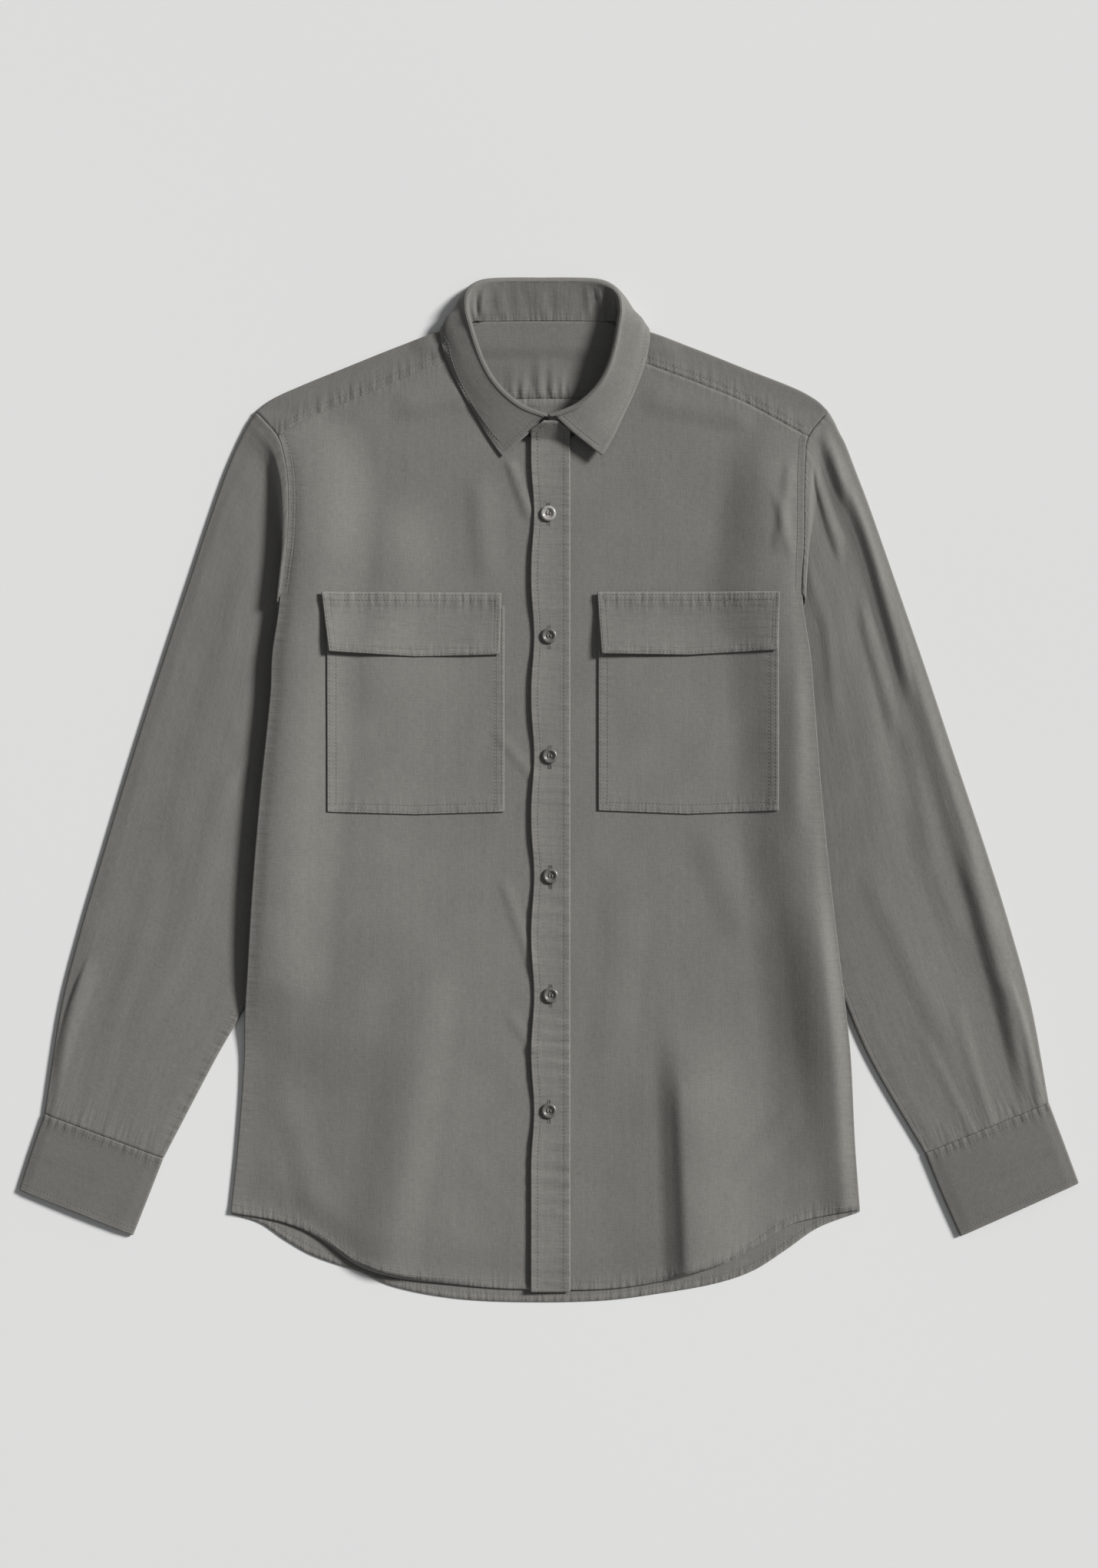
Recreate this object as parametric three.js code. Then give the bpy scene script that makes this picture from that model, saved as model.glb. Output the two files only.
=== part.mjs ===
// A long-sleeved button-through shirt in washed cotton, buttoned and laid flat with its front upwards.
// Millimetres. X runs across the shirt, Y from the hem up to the collar, Z up from the table at zero.
// Every piece of cloth is a wall of even thickness about a middle surface, which is a grid of points.
import * as THREE from "three";

// Driving sizes
const cloth = 1.2; // wall of a single piece of cloth
const doubled = 1.6; // wall of a cuff, which is two cloths and a stiffener
const seam = 0.3; // space between two pieces at a seam
const lying = 0.5; // space between a panel and a piece that lies on it
const fold = 1.2; // radius of a flattened fold, at the middle of the cloth
const loft = 2.2; // air between the front and the back
const sideRoll = 12; // from the side edge in to the crest of the raised side
const sideFoot = 72; // from the side edge in to where the raised side has died away
const placketWidth = 29.5;
const placketMiddle = 2.2;
const frontMeets = 12.9; // the two fronts meet here, under the placket
const buttonWidth = 12.4;
const buttonThick = 2.6;
const collarLean = 0.06; // the collar leans to one side by this share of its depth
const collarTop = 409;
const neckHalf = 61.6; // from the middle of the neck to its edge at the shoulder
const neckSlant = -5.5; // the middle of the neck lies this far across at the top of the collar
const neckBack = 377; // level of the back neck seam
const neckTurn = 372; // the neck edge lies on the front below this level
const leafLevel = 358; // above this level the back of the collar leaf lies under the yoke
const leafFade = 12; // the cloth rises onto the leaf over this distance
const leafHalf = 94; // half the width of the leaf there
const leafSlope = 18; // the cloth falls off the side of the leaf over this distance
const sideTaper = 40; // the air between front and back closes over this distance from a side
const hemTaper = 35; // the same from the hem
const seamRise = 44; // the yoke seam of the back is this much higher in the middle
const leastFacing = 0.62; // a slanting wall is thickened by no more than one over this
const sleeveFade = 0.3; // the armhole's curve has straightened by this share of the sleeve
const sideBreak = 0.78; // share of a panel's side that lies below the underarm
const neckShare = 0.66; // share of a front's top that lies at the yoke seam
const rollRound = 2.4; // the roll of the collar turns over with about this radius
const collarPlaces = 7; // spans between the named places of a collar section
const standEnd = 14; // last section of the stand
const leafEnd = 13; // last section of the leaf
const backLeaf = 7; // the leaf lies on the table up to this section, and on the front after the next
const standTop = 2.86; // the stand ends just short of the roll, and the leaf starts just past it
const leafStart = 3.12;

// Table with named columns: each row becomes a record of its values
const table = (columns, rows) =>
  rows.map((row) => Object.fromEntries(columns.map((column, index) => [column, row[index]])));

// Outline of the body, from the hem corner up to the tip of the shoulder. A lift is how far the side
// is held off the table by the sleeve that is tucked under it.
const outline = table(["level", "left", "right", "leftLift", "rightLift"], [
  [-342, -256.1, 250.9, 0, 0],
  [-284, -250.2, 246.3, 0, 5],
  [-218, -245.3, 242.7, 1, 10],
  [-181, -244.4, 239, 5.5, 12],
  [-150, -242, 235.3, 12, 12],
  [-84, -237.8, 227.4, 15.6, 11.5],
  [-8, -231.6, 219.6, 16.4, 10.5],
  [77, -223, 213, 16.4, 10],
  [109, -221.5, 210.3, 16.4, 10],
  [141, -216.8, 205.2, 16.4, 10],
  [156, -215.3, 203.9, 16.4, 10],
  [171, -213.4, 204, 16.2, 10],
  [204, -209.6, 205.2, 15.2, 9.5],
  [247, -209.4, 205.6, 12, 7.5],
  [268, -212.4, 206.4, 9, 5.5],
  [285, -217.9, 209, 5.4, 3.5],
  [306, -235.5, 225.1, 0.4, 0.4],
]);
const hemLevel = -342;
const underarm = 156;
const shoulderTip = 305.7;
const frontYokeEnd = 285;
const backYokeEnd = 272;

// Curved shirt-tail hems of the front and of the longer back
const hems = table(["across", "front", "back"], [
  [-256.1, -341.2, -342.2],
  [-232, -345, -349.5],
  [-212, -349.5, -363],
  [-190, -359, -375.5],
  [-155, -383, -388],
  [-125, -393, -400.5],
  [-80, -398.5, -409.5],
  [-30, -402.5, -412.8],
  [43, -402.8, -411.8],
  [90, -396.5, -406],
  [135, -384.5, -398],
  [165, -369.5, -388],
  [191, -352.5, -371.5],
  [217, -344.7, -353.5],
  [250.9, -338.7, -340.5],
]);

// Shoulder fold and the edge of the yoke at the back of the neck, from one shoulder tip to the other
const shoulders = table(["across", "top", "front"], [
  [-235.5, 305.7, 276],
  [-223.5, 315, 281.5],
  [-200.6, 325.7, 296.5],
  [-162.8, 341.2, 313],
  [-122.5, 357.4, 329.8],
  [-87, 370.1, 344.5],
  [-66, 373, 351],
  [-56, 378.4, 354.5],
  [-46, 379.4, 355],
  [39, 379.4, 355],
  [49, 378.4, 354.5],
  [59.5, 373, 351.5],
  [77, 370.8, 344.6],
  [120, 355.3, 328.5],
  [160.6, 339.1, 311.5],
  [200.9, 323, 289.4],
  [217, 313.7, 281],
  [225.1, 305.7, 276],
]);

// Front edge of the neck, from the shoulder down to the placket, as distances from the middle of the neck
const neckline = table(["at", "out", "level"], [
  [0, neckHalf, 352],
  [0.2, 56.9, 335.4],
  [0.42, 49.4, 318.6],
  [0.64, 38.8, 303.6],
  [0.82, 26, 291.4],
  [1, 12, 281.8],
]);

// Sleeves, one row for each section from the armhole to the cuff. Held is the share of the armhole's
// own height; rim, foot, crown and dip are heights of the upper cloth from the outer fold inwards.
const sleeveColumns = ["at", "outerX", "outerY", "innerX", "innerY", "held", "rim", "foot", "crown", "dip"];
const leftSleeve = table(sleeveColumns, [
  [0, -236.2, 305, -215.8, 155.5, 1, 4.2, 4.6, 5.6, 3.8],
  [0.03, -241.2, 297.5, -218, 151, 1.03, 4.2, 4.6, 5.6, 3.8],
  [0.05, -244.5, 291.5, -220.5, 145, 0.3, 4.2, 4, 3.8, 3.6],
  [0.08, -249, 283, -216, 132, 0, 4.2, 3.8, 3.5, 3.4],
  [0.14, -259, 260, -212, 108, 0, 4.2, 4.4, 4.8, 3.5],
  [0.22, -270, 229, -216, 84, 0, 4.2, 4.6, 5.4, 3.5],
  [0.32, -289, 172, -213, 40, 0, 4.2, 4.6, 5.6, 3.6],
  [0.44, -312.5, 101, -216, -10, 0, 4.2, 4.6, 5.6, 3.6],
  [0.56, -336.5, 26, -220, -64, 0, 4.2, 4.6, 5.6, 3.6],
  [0.68, -359.5, -50, -225, -120, 0, 4.2, 4.6, 5.6, 3.6],
  [0.78, -377.5, -111, -240, -166, 0, 4.2, 4.6, 5.4, 4],
  [0.88, -393.5, -174, -269, -218, 0, 4.4, 3.8, 5, 4.2],
  [1, -407, -261, -310.5, -297, 0, 4.2, 4, 4.4, 4.2],
]);
const rightSleeve = table(sleeveColumns, [
  [0, 225.9, 305, 204.7, 155.5, 1, 4.2, 4.6, 5.6, 3.8],
  [0.03, 230.5, 297, 206.4, 151, 0.96, 4.4, 4.6, 5.6, 3.8],
  [0.05, 234, 289.5, 204, 144.5, 0.4, 4.6, 4.4, 4.6, 3.6],
  [0.08, 239, 280, 199, 131, 0, 5, 4, 4.6, 3.4],
  [0.14, 247.5, 258, 198.5, 108, 0, 5.6, 3.8, 4.8, 3.5],
  [0.22, 258.5, 229, 205, 84, 0, 6, 3.6, 5.2, 3.5],
  [0.32, 278.5, 172, 203, 40, 0, 6.4, 3.5, 5.4, 3.6],
  [0.44, 303, 101, 207, -10, 0, 6.6, 3.4, 5.4, 3.6],
  [0.56, 328, 26, 211, -64, 0, 6.8, 3.4, 5.2, 3.6],
  [0.68, 353.5, -50, 216, -112, 0, 7, 3.3, 5, 3.6],
  [0.78, 372.5, -111, 232, -154, 0, 7, 3.2, 5, 4],
  [0.88, 389.5, -174, 258, -216, 0, 6.4, 3.4, 4.8, 4.2],
  [1, 403.5, -252, 302.8, -293, 0, 4.4, 4, 4.4, 4.2],
]);

// Cuffs, from the seam to the open end
const leftCuff = table(sleeveColumns, [
  [0, -407.3, -261.9, -310.9, -297.9, 0, 4, 4, 4.4, 4],
  [0.5, -417.6, -292, -322.9, -328.6, 0, 4.2, 4.4, 4.6, 4.2],
  [1, -427.3, -322.2, -335, -359.2, 0, 4, 4.2, 4.4, 4],
]);
const rightCuff = table(sleeveColumns, [
  [0, 403.8, -252.9, 303.2, -293.9, 0, 4, 4, 4.4, 4],
  [0.5, 415.8, -284.6, 317, -327.4, 0, 4.2, 4.4, 4.6, 4.2],
  [1, 427.7, -316.8, 331.5, -360, 0, 4, 4.2, 4.4, 4],
]);

// Collar, one row for each section from the middle of the back round to the front, as distances from
// the middle of the neck: the neck seam, the roll at the top of the stand, the bulge of the leaf,
// where the leaf turns flat again, and its free edge. Both halves are alike.
const collar = table([
  "neckX", "neckY", "rollX", "rollY", "rollZ", "bulgeX", "bulgeY", "bulgeZ",
  "turnX", "turnY", "turnZ", "edgeX", "edgeY", "edgeZ",
], [
  [0, 378.7, 0, 409.3, 6, 0, 412, 3.4, 0, 404, 0.7, 0, 366, 0.6],
  [26, 378.6, 28, 409.3, 6.2, 28, 412, 3.4, 28, 404, 0.7, 30, 366, 0.6],
  [48, 378.2, 46, 408.2, 8, 47.5, 410.4, 4, 49, 402, 0.7, 54, 366, 0.6],
  [55.4, 378.4, 56.5, 403.5, 11.5, 58.5, 404.6, 5.5, 60, 396, 0.8, 66, 365.5, 0.6],
  [58.8, 377, 61.5, 396, 16, 66.5, 396, 8, 68, 387.5, 1, 73, 365, 0.6],
  [60, 373.6, 62.5, 386, 18, 72, 386.4, 10, 74.5, 379.5, 1.4, 79, 370, 0.7],
  [60.2, 367, 61.6, 378.5, 19.5, 77, 379.6, 12, 80.5, 375.8, 5.6, 83, 373, 2.8],
  [60, 360, 60, 371.5, 20.4, 77, 371.5, 14, 82.4, 370, 9.6, 84.2, 367, 8.4],
  [57.6, 350, 56.5, 357, 21.2, 71.5, 356, 15.4, 79, 355, 10.4, 82.6, 355.5, 0],
  [54.6, 336.6, 51.5, 342, 21.4, 64.5, 337.6, 15.2, 72.5, 336, 10, 77.2, 338.4, 0],
  [47.4, 320.6, 44.5, 328.5, 21.4, 56, 320.6, 15, 64, 317.5, 10, 69.4, 321, 0.2],
  [37.2, 305.6, 34.5, 316.5, 21, 45.5, 306, 14.8, 54.5, 300.5, 10, 60, 302.8, 0.6],
  [25, 293.6, 21.5, 306.5, 20.6, 33.5, 294.5, 14.6, 43.5, 285.5, 10, 50.2, 284.6, 1.2],
  [8, 283.4, 4.5, 299.8, 20, 17.5, 287.4, 14.4, 30.5, 276.8, 10.2, 40, 269, 2],
  [0.3, 283, 0.3, 299, 19.4, 12, 287, 14.2, 26, 276, 10.2, 36, 267, 2],
]);

// Largest folds of the fronts, each a ridge along a line, steep on its left and gentle on its right
const ridges = table(["fromX", "fromY", "toX", "toY", "height", "left", "right", "ends"], [
  [104, -186, 114, -405, 5, 20, 56, 60],
  [-88, -110, -134, -400, 2.4, 40, 26, 80],
]);

// Pockets and their flaps, by the level of their edges and the distance of their corners across
const pockets = table([
  "side", "inner", "outer", "top", "bottom", "point",
  "flapInner", "flapOuter", "flapTop", "flapInnerLow", "flapOuterLow", "flapPoint",
], [
  ["right", -36, -177.5, 148, -17.5, -19.6, -38.4, -181.6, 158.4, 109.2, 111.4, 106.4],
  ["left", 40.4, 184.4, 148, -16.4, -19.2, 39.4, 185, 159, 110, 112.8, 107.6],
]);

// Buttons down the placket
const buttons = table(["across", "level"], [
  [-0.3, 222.6],
  [0.3, 124],
  [0.9, 27.3],
  [1.6, -69.4],
  [1.6, -165.5],
  [0.3, -258.5],
]);

// Smooth curve through the rows of a table: one column's value at a place in the key column
function read(rows, key, column, place) {
  const last = rows.length - 1;
  let row = 0;
  while (row < last - 1 && place > rows[row + 1][key]) {
    row += 1;
  }
  const slope = (index) => {
    const before = rows[Math.max(index - 1, 0)];
    const after = rows[Math.min(index + 1, last)];
    return (after[column] - before[column]) / (after[key] - before[key]);
  };
  const span = rows[row + 1][key] - rows[row][key];
  const share = THREE.MathUtils.clamp((place - rows[row][key]) / span, 0, 1);
  const square = share * share;
  const cube = square * share;
  const ending = 3 * square - 2 * cube;
  const straight = rows[row][column] * (1 - ending) + rows[row + 1][column] * ending;
  const bent = slope(row) * (cube - 2 * square + share) + slope(row + 1) * (cube - square);
  return straight + bent * span;
}

const smooth = (from, to, value) => THREE.MathUtils.smoothstep(value, from, to);
const mix = THREE.MathUtils.lerp;

// Even steps between the given stops, with every stop kept
function steps(stops, counts) {
  const values = [stops[0]];
  counts.forEach((count, index) => {
    for (let step = 1; step <= count; step += 1) {
      values.push(mix(stops[index], stops[index + 1], step / count));
    }
  });
  return values;
}

// Point of a patch that is stretched between four edge curves
function patch(across, up, edges) {
  const point = new THREE.Vector2();
  point.addScaledVector(edges.bottom(across), 1 - up);
  point.addScaledVector(edges.top(across), up);
  point.addScaledVector(edges.left(up), 1 - across);
  point.addScaledVector(edges.right(up), across);
  point.addScaledVector(edges.bottom(0), -(1 - across) * (1 - up));
  point.addScaledVector(edges.bottom(1), -across * (1 - up));
  point.addScaledVector(edges.top(0), -(1 - across) * up);
  point.addScaledVector(edges.top(1), -across * up);
  return point;
}

// Closed wall about a grid of middle points. Upright walls thicken straight up, so that their edges
// stand square to the table; others thicken square to the cloth, but never along the direction that
// aside gives, so that their ends stay flat against the next piece.
function wall(middle, thick, { aside = null, tangents = null, missing = () => false } = {}) {
  const rows = middle.length;
  const columns = middle[0].length;
  const positions = [[], []];
  for (let row = 0; row < rows; row += 1) {
    for (let column = 0; column < columns; column += 1) {
      const next = middle[row][Math.min(column + 1, columns - 1)];
      const previous = middle[row][Math.max(column - 1, 0)];
      const above = middle[Math.min(row + 1, rows - 1)][column];
      const below = middle[Math.max(row - 1, 0)][column];
      const along = tangents ? tangents[row][column] : next.clone().sub(previous);
      const normal = along.clone().cross(above.clone().sub(below)).normalize();
      const push = aside ? normal.clone() : new THREE.Vector3(0, 0, Math.sign(normal.z));
      if (aside) {
        const away = aside[row][column];
        push.addScaledVector(away, -push.dot(away)).normalize();
      }
      push.multiplyScalar(thick / 2 / Math.max(leastFacing, push.dot(normal)));
      positions[0].push(onTable(middle[row][column].clone().add(push)));
      positions[1].push(onTable(middle[row][column].clone().sub(push)));
    }
  }
  return closed(positions, rows, columns, missing, false);
}

// The same point, or the one on the table above it where it would lie lower
function onTable(point) {
  point.z = Math.max(0, point.z);
  return point;
}

// Triangles of a wall from its two faces, with a rim along every open edge
function closed(positions, rows, columns, missing, ring) {
  const total = rows * columns;
  const cells = ring ? columns : columns - 1;
  const there = (row, column) => {
    const inside = row >= 0 && row < rows - 1 && (ring || (column >= 0 && column < cells));
    return inside && !missing(row, (column + cells) % cells);
  };
  const index = [];
  const quad = (a, b, c, d) => index.push(a, b, c, a, c, d);
  for (let row = 0; row < rows - 1; row += 1) {
    for (let column = 0; column < cells; column += 1) {
      if (there(row, column)) {
        const right = (column + 1) % columns;
        const corners = [
          row * columns + column,
          row * columns + right,
          (row + 1) * columns + right,
          (row + 1) * columns + column,
        ];
        const beside = [
          there(row - 1, column),
          there(row, column + 1),
          there(row + 1, column),
          there(row, column - 1),
        ];
        quad(...corners);
        quad(corners[3] + total, corners[2] + total, corners[1] + total, corners[0] + total);
        beside.forEach((joined, side) => {
          if (!joined) {
            const from = corners[side];
            const to = corners[(side + 1) % 4];
            quad(to, from, from + total, to + total);
          }
        });
      }
    }
  }
  const used = [...new Set(index)].sort((a, b) => a - b);
  const place = new Map(used.map((old, fresh) => [old, fresh]));
  const every = [...positions[0], ...positions[1]];
  const geometry = new THREE.BufferGeometry();
  const numbers = used.flatMap((old) => every[old].toArray());
  geometry.setAttribute("position", new THREE.Float32BufferAttribute(numbers, 3));
  const mended = index.map((old) => place.get(old));
  const volume = signedVolume(every, index);
  if (volume < 0) {
    for (let start = 0; start < mended.length; start += 3) {
      [mended[start + 1], mended[start + 2]] = [mended[start + 2], mended[start + 1]];
    }
  }
  geometry.setIndex(mended);
  geometry.computeVertexNormals();
  return geometry;
}

function signedVolume(points, index) {
  let volume = 0;
  for (let start = 0; start < index.length; start += 3) {
    const [a, b, c] = [points[index[start]], points[index[start + 1]], points[index[start + 2]]];
    volume += a.dot(b.clone().cross(c)) / 6;
  }
  return volume;
}

const shirt = new THREE.Group();
const weaveColour = 0x74736e;
const weaveDark = 0x696763;
const buttonColour = 0x6a6761;

function add(name, geometry, colour = weaveColour, roughness = 0.92) {
  const material = new THREE.MeshStandardMaterial({ color: colour, roughness, metalness: 0 });
  const mesh = new THREE.Mesh(geometry, material);
  mesh.name = name;
  shirt.add(mesh);
}

const leftEdge = (level) => read(outline, "level", "left", level);
const rightEdge = (level) => read(outline, "level", "right", level);
const frontHem = (across) => read(hems, "across", "front", across);
const backHem = (across) => read(hems, "across", "back", across);
const neckMiddle = (level) => neckSlant + (collarTop - level) * collarLean;

// Height of the raised side at a distance in from the edge, as a share of its lift
function sideShare(inwards) {
  return (0.86 + 0.14 * smooth(0, sideRoll, inwards)) * (1 - smooth(sideRoll, sideFoot, inwards));
}

// Height of the middle of the lowest cloth of the body: flat on the table, raised at the sides, and
// raised at the neck where the back of the collar leaf lies under it
function underHeight(x, y) {
  const left = read(outline, "level", "leftLift", y) * sideShare(x - leftEdge(y));
  const right = read(outline, "level", "rightLift", y) * sideShare(rightEdge(y) - x);
  const fromNeck = Math.abs(x - neckMiddle(y));
  const besideLeaf = smooth(leafHalf, leafHalf + leafSlope, fromNeck);
  const overLeaf = smooth(leafLevel - leafFade, leafLevel, y) * (1 - besideLeaf);
  return cloth / 2 + left + right + (cloth + lying) * overLeaf;
}

// Height of a ridge: a crest that falls away to each side and at its upper end
function ridgeHeight(ridge, x, y) {
  const start = new THREE.Vector2(ridge.fromX, ridge.fromY);
  const line = new THREE.Vector2(ridge.toX, ridge.toY).sub(start).normalize();
  const offset = new THREE.Vector2(x, y).sub(start);
  const along = offset.dot(line);
  const aside = line.x * offset.y - line.y * offset.x;
  const width = aside < 0 ? ridge.left : ridge.right;
  const crest = 1 - smooth(0, width, Math.abs(aside));
  return ridge.height * crest * smooth(0, ridge.ends, along);
}

// Height of the middle of the front cloth
function frontHeight(x, y) {
  const fromSides = smooth(0, sideTaper, x - leftEdge(y)) * smooth(0, sideTaper, rightEdge(y) - x);
  const fromHem = smooth(0, hemTaper, y - frontHem(x));
  const folds = ridges.reduce((sum, ridge) => sum + ridgeHeight(ridge, x, y), 0);
  return underHeight(x, y) + cloth + lying + (loft + folds) * fromSides * fromHem;
}

// Back, from the curved hem up to the yoke
const backEdges = {
  bottom: (across) => {
    const x = mix(outline[0].left, outline[0].right, across);
    return new THREE.Vector2(x, backHem(x));
  },
  top: (across) => {
    const x = mix(leftEdge(backYokeEnd), rightEdge(backYokeEnd), across);
    return new THREE.Vector2(x, backSeam(x) - seam);
  },
  left: (up) => sideAt(up, backYokeEnd, leftEdge, backHem),
  right: (up) => sideAt(up, backYokeEnd, rightEdge, backHem),
};

// Yoke seam across the back, highest in the middle
function backSeam(x) {
  const middle = (leftEdge(backYokeEnd) + rightEdge(backYokeEnd)) / 2;
  const half = (rightEdge(backYokeEnd) - leftEdge(backYokeEnd)) / 2;
  return backYokeEnd + seamRise * (1 - ((x - middle) / half) ** 2);
}

// Point on a side edge: the side up to the underarm, then the armhole
function sideAt(up, end, edge, hem) {
  const corner = hem(edge(hemLevel));
  const below = mix(corner, underarm, up / sideBreak);
  const above = mix(underarm, end - seam, (up - sideBreak) / (1 - sideBreak));
  const level = up < sideBreak ? below : above;
  return new THREE.Vector2(edge(level), level);
}

function panel(acrossSteps, upSteps, edges, height) {
  return upSteps.map((up) =>
    acrossSteps.map((across) => {
      const point = patch(across, up, edges);
      return new THREE.Vector3(point.x, point.y, height(point.x, point.y));
    }),
  );
}

const backAcross = steps([0, 0.035, 0.13, 0.87, 0.965, 1], [2, 3, 8, 3, 2]);
const backUp = steps([0, 0.1, sideBreak, 1], [3, 11, 5]);
add("back", wall(panel(backAcross, backUp, backEdges, underHeight), cloth));

// Two fronts, each from the hem up to the yoke and the neck
function frontPanel(side) {
  const edge = side < 0 ? leftEdge : rightEdge;
  const meets = side < 0 ? frontMeets - seam : frontMeets;
  const neckEnd = neckline[neckline.length - 1];
  const curvedShare = side < 0 ? 0.75 : 0.98;
  const edges = {
    bottom: (across) => {
      const x = mix(edge(hemLevel), meets, across);
      return new THREE.Vector2(x, frontHem(x));
    },
    top: (across) => {
      if (across <= neckShare) {
        const shoulderEnd = neckMiddle(neckline[0].level) + side * neckline[0].out;
        const x = mix(edge(frontYokeEnd), shoulderEnd, across / neckShare);
        return new THREE.Vector2(x, read(shoulders, "across", "front", x) - seam);
      }
      const beyond = (across - neckShare) / (1 - neckShare) / curvedShare;
      const at = Math.min(1, beyond);
      const level = read(neckline, "at", "level", at) - seam * (1 - at);
      const x = neckMiddle(level) + side * read(neckline, "at", "out", at);
      const straight = Math.max(0, beyond - 1) / (1 / curvedShare - 1);
      return new THREE.Vector2(mix(x, meets, straight), level);
    },
    left: (up) => sideAt(up, frontYokeEnd, edge, frontHem),
    right: (up) => new THREE.Vector2(meets, mix(frontHem(meets), neckEnd.level, up)),
  };
  const acrossSteps = steps([0, 0.07, 0.28, neckShare, 1], [2, 5, 6, 7]);
  const upSteps = steps([0, 0.1, sideBreak, 1], [3, 11, 6]);
  return wall(panel(acrossSteps, upSteps, edges, frontHeight), cloth);
}
add("front_right", frontPanel(-1));
add("front_left", frontPanel(1));

// Yoke: across the back of the shoulders, folded over the shoulder line on both sides of the neck.
// Each section is a hook of cloth, from the back seam up to the fold and down to the front seam.
function yoke() {
  const neckLeft = neckMiddle(neckTurn) - neckHalf;
  const neckRight = neckMiddle(neckTurn) + neckHalf;
  const tops = steps([-235.5, -217, neckLeft, neckRight, 206.5, 225.1], [2, 6, 8, 6, 2]);
  const neckCells = [8, 16];
  const lowerCount = 5;
  const foldCount = 4;
  const upperCount = 2;
  const middle = [];
  const aside = [];
  tops.forEach((topX) => {
    const share = (topX - tops[0]) / (tops[tops.length - 1] - tops[0]);
    const backX = mix(leftEdge(backYokeEnd), rightEdge(backYokeEnd), share);
    const back = new THREE.Vector2(backX, backSeam(backX));
    const top = new THREE.Vector2(topX, read(shoulders, "across", "top", topX) - cloth / 2);
    const frontX = topX < 0 ? frontPlace(topX, -1, neckLeft) : frontPlace(topX, 1, neckRight);
    const front = new THREE.Vector2(frontX, read(shoulders, "across", "front", frontX));
    const hook = hookPoints(back, top, front, share, [lowerCount, foldCount, upperCount]);
    middle.push(hook.points);
    aside.push(hook.aside);
  });
  const missing = (row, column) => row >= neckCells[0] && row < neckCells[1] && column >= lowerCount;
  return wall(middle, cloth, { aside, missing });
}

// Front seam's place for a section whose fold lies at the given place
function frontPlace(topX, side, neckX) {
  const edge = side < 0 ? leftEdge : rightEdge;
  const tip = side < 0 ? shoulders[0].across : shoulders[shoulders.length - 1].across;
  const shoulderEnd = neckMiddle(neckline[0].level) + side * neckline[0].out;
  return mix(edge(frontYokeEnd), shoulderEnd, THREE.MathUtils.clamp((topX - tip) / (neckX - tip), 0, 1));
}

function hookPoints(back, top, front, share, counts) {
  const points = [];
  const asides = [];
  const atEnd = share < 0.001 || share > 0.999;
  const edge = share < 0.5 ? leftEdge : rightEdge;
  const place = (from, to, part) => {
    const point = from.clone().lerp(to, part);
    return atEnd ? new THREE.Vector2(edge(point.y), point.y) : point;
  };
  const square = (from, to) => {
    const line = to.clone().sub(from).normalize();
    return new THREE.Vector3(-line.y, line.x, 0);
  };
  const foldIn = top.clone().sub(top.clone().sub(back).normalize().multiplyScalar(fold));
  const low = underHeight(foldIn.x, foldIn.y);
  for (let step = 0; step < counts[0]; step += 1) {
    const point = place(back, foldIn, step / counts[0]);
    points.push(new THREE.Vector3(point.x, point.y, underHeight(point.x, point.y)));
    asides.push(square(back, foldIn));
  }
  for (let step = 0; step <= counts[1]; step += 1) {
    const angle = (Math.PI * step) / counts[1];
    const reach = foldIn.clone().lerp(top, Math.sin(angle));
    points.push(new THREE.Vector3(reach.x, reach.y, low + fold * (1 - Math.cos(angle))));
    asides.push(square(back, foldIn));
  }
  for (let step = 1; step <= counts[2]; step += 1) {
    const part = step / counts[2];
    const point = place(foldIn, front, part);
    const height = mix(underHeight(point.x, point.y) + 2 * fold, frontHeight(point.x, point.y), part);
    points.push(new THREE.Vector3(point.x, point.y, height));
    asides.push(square(foldIn, front).multiplyScalar(-1));
  }
  return { points, aside: asides };
}
add("yoke", yoke());

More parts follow.
